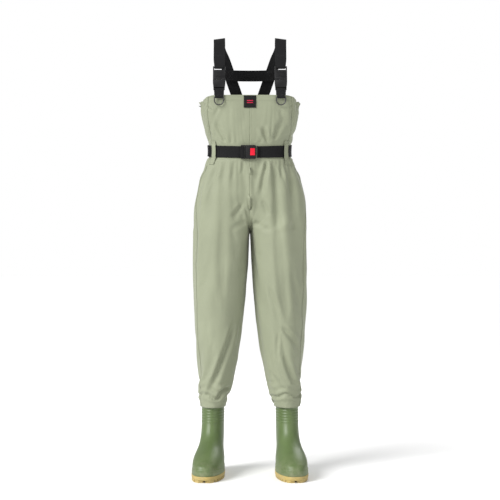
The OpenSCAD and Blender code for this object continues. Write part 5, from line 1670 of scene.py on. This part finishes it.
def add_cleats(bm, side):
    """Cleats in two rows, angled like a herringbone, with a waist under the arch."""
    samples = np.linspace(0, math.pi, 181)
    sx, sy = boot_section(np.full(len(samples), WELT_SHARE), samples, 1.5)
    order = np.argsort(sy)
    y = -TOE_REACH + 3.0
    while y < HEEL_REACH - 4:
        if not ARCH[0] < y + CLEAT / 2 < ARCH[1]:
            for half in (1, -1):
                made = bmesh.ops.create_cube(bm, size=1)["verts"]
                for v in made:
                    outer, front, top = v.co.x * half > 0, v.co.y < 0, v.co.z > 0
                    yy = y + (0 if front else CLEAT)
                    limit = float(np.interp(np.clip(yy, sy.min(), sy.max()), sy[order], sx[order]))
                    edge = max(limit - (0.0 if top else 1.2), 3.4)
                    x = edge if outer else 3.2
                    lean = 3.0 * (0 if outer else 1)
                    draft = (0.0 if top else 0.9) * (1 if front else -1)
                    px, py = boot_place(x * half,
                                        min(max(yy + lean + draft, sy.min() + 0.5), sy.max() - 0.5), side)
                    v.co = Vector((px, py, (TREAD + 0.3) if top else 0.0)) * MM
                edges = list({e for v in made for e in v.link_edges
                              if min(w.co.z for w in e.verts) < TREAD * MM * 0.5})
                bmesh.ops.bevel(bm, geom=edges, offset=0.9 * MM, segments=2, profile=0.5, affect="EDGES",
                                material=-1)
        y += CLEAT_PITCH


# ---- Stage ----

LIT_POINT, CAMERA_AT = Vector((0, 0, 0.75)), (0.0, -4.2, 0.738)
FILL_WATTS, RIM_WATTS, FLOOR_REACH = 24.0, 50.0, 30


def build_stage():
    """Pale floor and backdrop, soft studio lights and the camera."""
    settings = bpy.context.scene.waders_stage
    bm = bmesh.new()
    bmesh.ops.create_grid(bm, x_segments=1, y_segments=1, size=FLOOR_REACH)
    floor = link(bpy.data.objects.new("floor", finish_mesh(bm, "floor", smooth=False)))
    floor.data.materials.append(material("pale floor"))
    world = bpy.data.worlds.new("studio")
    world.use_nodes = True
    tree = world.node_tree
    soft = tree.nodes["Background"]
    soft.inputs["Color"].default_value = (1.0, 1.0, 1.0, 1.0)
    soft.inputs["Strength"].default_value = settings.sky
    plain = add(tree, "Background", Color=(1.0, 1.0, 1.0, 1.0), Strength=1.0)
    seen = tree.nodes.new("ShaderNodeLightPath")
    both = tree.nodes.new("ShaderNodeMixShader")
    for k, source in enumerate((seen.outputs["Is Camera Ray"], soft.outputs[0], plain.outputs[0])):
        tree.links.new(source, both.inputs[k])
    tree.links.new(both.outputs[0], tree.nodes["World Output"].inputs["Surface"])
    bpy.context.scene.world = world
    for name, kind, place, size, power in (("key", "SUN", (-3.2, -2.6, 3.4), 0.6, settings.key),
                                           ("fill", "AREA", (2.6, -2.4, 1.3), 2.6, FILL_WATTS),
                                           ("rim", "AREA", (0.8, 2.8, 2.4), 2.4, RIM_WATTS)):
        lamp = bpy.data.lights.new(name, kind)
        lamp.energy = power
        if kind == "SUN":
            lamp.angle = size
        else:
            lamp.shape, lamp.size = "DISK", size
        light = link(bpy.data.objects.new(name, lamp))
        light.location = place
        light.rotation_euler = (LIT_POINT - Vector(place)).to_track_quat("-Z", "Y").to_euler()
    cam = bpy.data.cameras.new("camera")
    cam.lens, cam.sensor_width = settings.focal, 36
    camera = link(bpy.data.objects.new("camera", cam))
    camera.location = CAMERA_AT
    camera.rotation_euler = (math.pi / 2, 0, 0)
    bpy.context.scene.camera = camera
    view = bpy.context.scene.view_settings
    view.view_transform, view.look, view.exposure, view.gamma = "Standard", "None", 0.0, 1.0


# ---- Operators, panel and registration ----

class WADERS_OT_stage(bpy.types.Operator):
    """Make the floor, the lights and the camera"""
    bl_idname = "waders.stage"
    bl_label = "Stage"
    bl_options = {"REGISTER", "UNDO"}

    def execute(self, context):
        build_stage()
        return {"FINISHED"}


class WADERS_OT_garment(bpy.types.Operator):
    """Make the four cloth panels with their creases"""
    bl_idname = "waders.garment"
    bl_label = "Cloth panels"
    bl_options = {"REGISTER", "UNDO"}

    def execute(self, context):
        build_garment()
        return {"FINISHED"}


class WADERS_OT_tapes(bpy.types.Operator):
    """Make the welded tapes, hem facing and elastics inside the cloth"""
    bl_idname = "waders.tapes"
    bl_label = "Inner tapes"
    bl_options = {"REGISTER", "UNDO"}

    def execute(self, context):
        build_inner_tapes()
        return {"FINISHED"}


class WADERS_OT_stitches(bpy.types.Operator):
    """Sew the hem and the side seams"""
    bl_idname = "waders.stitches"
    bl_label = "Garment stitches"
    bl_options = {"REGISTER", "UNDO"}

    def execute(self, context):
        build_garment_stitches()
        return {"FINISHED"}


class WADERS_OT_label(bpy.types.Operator):
    """Make the plain label on the bib"""
    bl_idname = "waders.label"
    bl_label = "Label"
    bl_options = {"REGISTER", "UNDO"}

    def execute(self, context):
        build_label()
        return {"FINISHED"}


class WADERS_OT_straps(bpy.types.Operator):
    """Make the shoulder straps, the cross strap and the back patch"""
    bl_idname = "waders.straps"
    bl_label = "Shoulder straps"
    bl_options = {"REGISTER", "UNDO"}

    def execute(self, context):
        build_straps()
        return {"FINISHED"}


class WADERS_OT_buckles(bpy.types.Operator):
    """Make the shoulder buckles, their webbing and the rings"""
    bl_idname = "waders.buckles"
    bl_label = "Shoulder buckles"
    bl_options = {"REGISTER", "UNDO"}

    def execute(self, context):
        build_shoulder_buckles()
        return {"FINISHED"}


class WADERS_OT_belt(bpy.types.Operator):
    """Make the waist belt and its loops"""
    bl_idname = "waders.belt"
    bl_label = "Waist belt"
    bl_options = {"REGISTER", "UNDO"}

    def execute(self, context):
        build_belt()
        return {"FINISHED"}


class WADERS_OT_belt_buckle(bpy.types.Operator):
    """Make the centre-release buckle of the belt"""
    bl_idname = "waders.belt_buckle"
    bl_label = "Belt buckle"
    bl_options = {"REGISTER", "UNDO"}

    def execute(self, context):
        build_belt_buckle()
        return {"FINISHED"}


class WADERS_OT_boots(bpy.types.Operator):
    """Make the boots, their weld bands and insoles"""
    bl_idname = "waders.boots"
    bl_label = "Boots"
    bl_options = {"REGISTER", "UNDO"}

    def execute(self, context):
        build_boots()
        return {"FINISHED"}


class WADERS_OT_outsoles(bpy.types.Operator):
    """Make the outsoles and their tread"""
    bl_idname = "waders.outsoles"
    bl_label = "Outsoles"
    bl_options = {"REGISTER", "UNDO"}

    def execute(self, context):
        build_outsoles()
        return {"FINISHED"}


STEPS = ("stage", "garment", "tapes", "stitches", "label", "straps", "buckles", "belt", "belt_buckle",
         "boots",
         "outsoles")


class WADERS_PT_panel(bpy.types.Panel):
    """Lists the pieces of the waders and their settings"""
    bl_idname = "WADERS_PT_panel"
    bl_label = "Chest Waders"
    bl_space_type = "VIEW_3D"
    bl_region_type = "UI"
    bl_category = "Waders"

    def draw(self, context):
        column = self.layout.column()
        for step in STEPS:
            column.operator(f"waders.{step}")
        for name in ("waders_fabric", "waders_webbing", "waders_boots", "waders_stage"):
            settings = getattr(context.scene, name)
            for prop in settings.bl_rna.properties:
                if prop.identifier not in ("rna_type", "name"):
                    column.prop(settings, prop.identifier)


CLASSES = (WadersFabric, WadersWebbing, WadersBoots, WadersStage, WADERS_OT_stage, WADERS_OT_garment,
           WADERS_OT_tapes, WADERS_OT_stitches, WADERS_OT_label, WADERS_OT_straps, WADERS_OT_buckles,
           WADERS_OT_belt, WADERS_OT_belt_buckle, WADERS_OT_boots, WADERS_OT_outsoles, WADERS_PT_panel)
SETTINGS = {"waders_fabric": WadersFabric, "waders_webbing": WadersWebbing, "waders_boots": WadersBoots,
            "waders_stage": WadersStage}


def register():
    for cls in CLASSES:
        bpy.utils.register_class(cls)
    for name, group in SETTINGS.items():
        setattr(bpy.types.Scene, name, bpy.props.PointerProperty(type=group))


def unregister():
    for name in SETTINGS:
        delattr(bpy.types.Scene, name)
    for cls in reversed(CLASSES):
        bpy.utils.unregister_class(cls)


def main():
    register()
    for step in STEPS:
        getattr(bpy.ops.waders, step)()


if __name__ == "__main__":
    main()
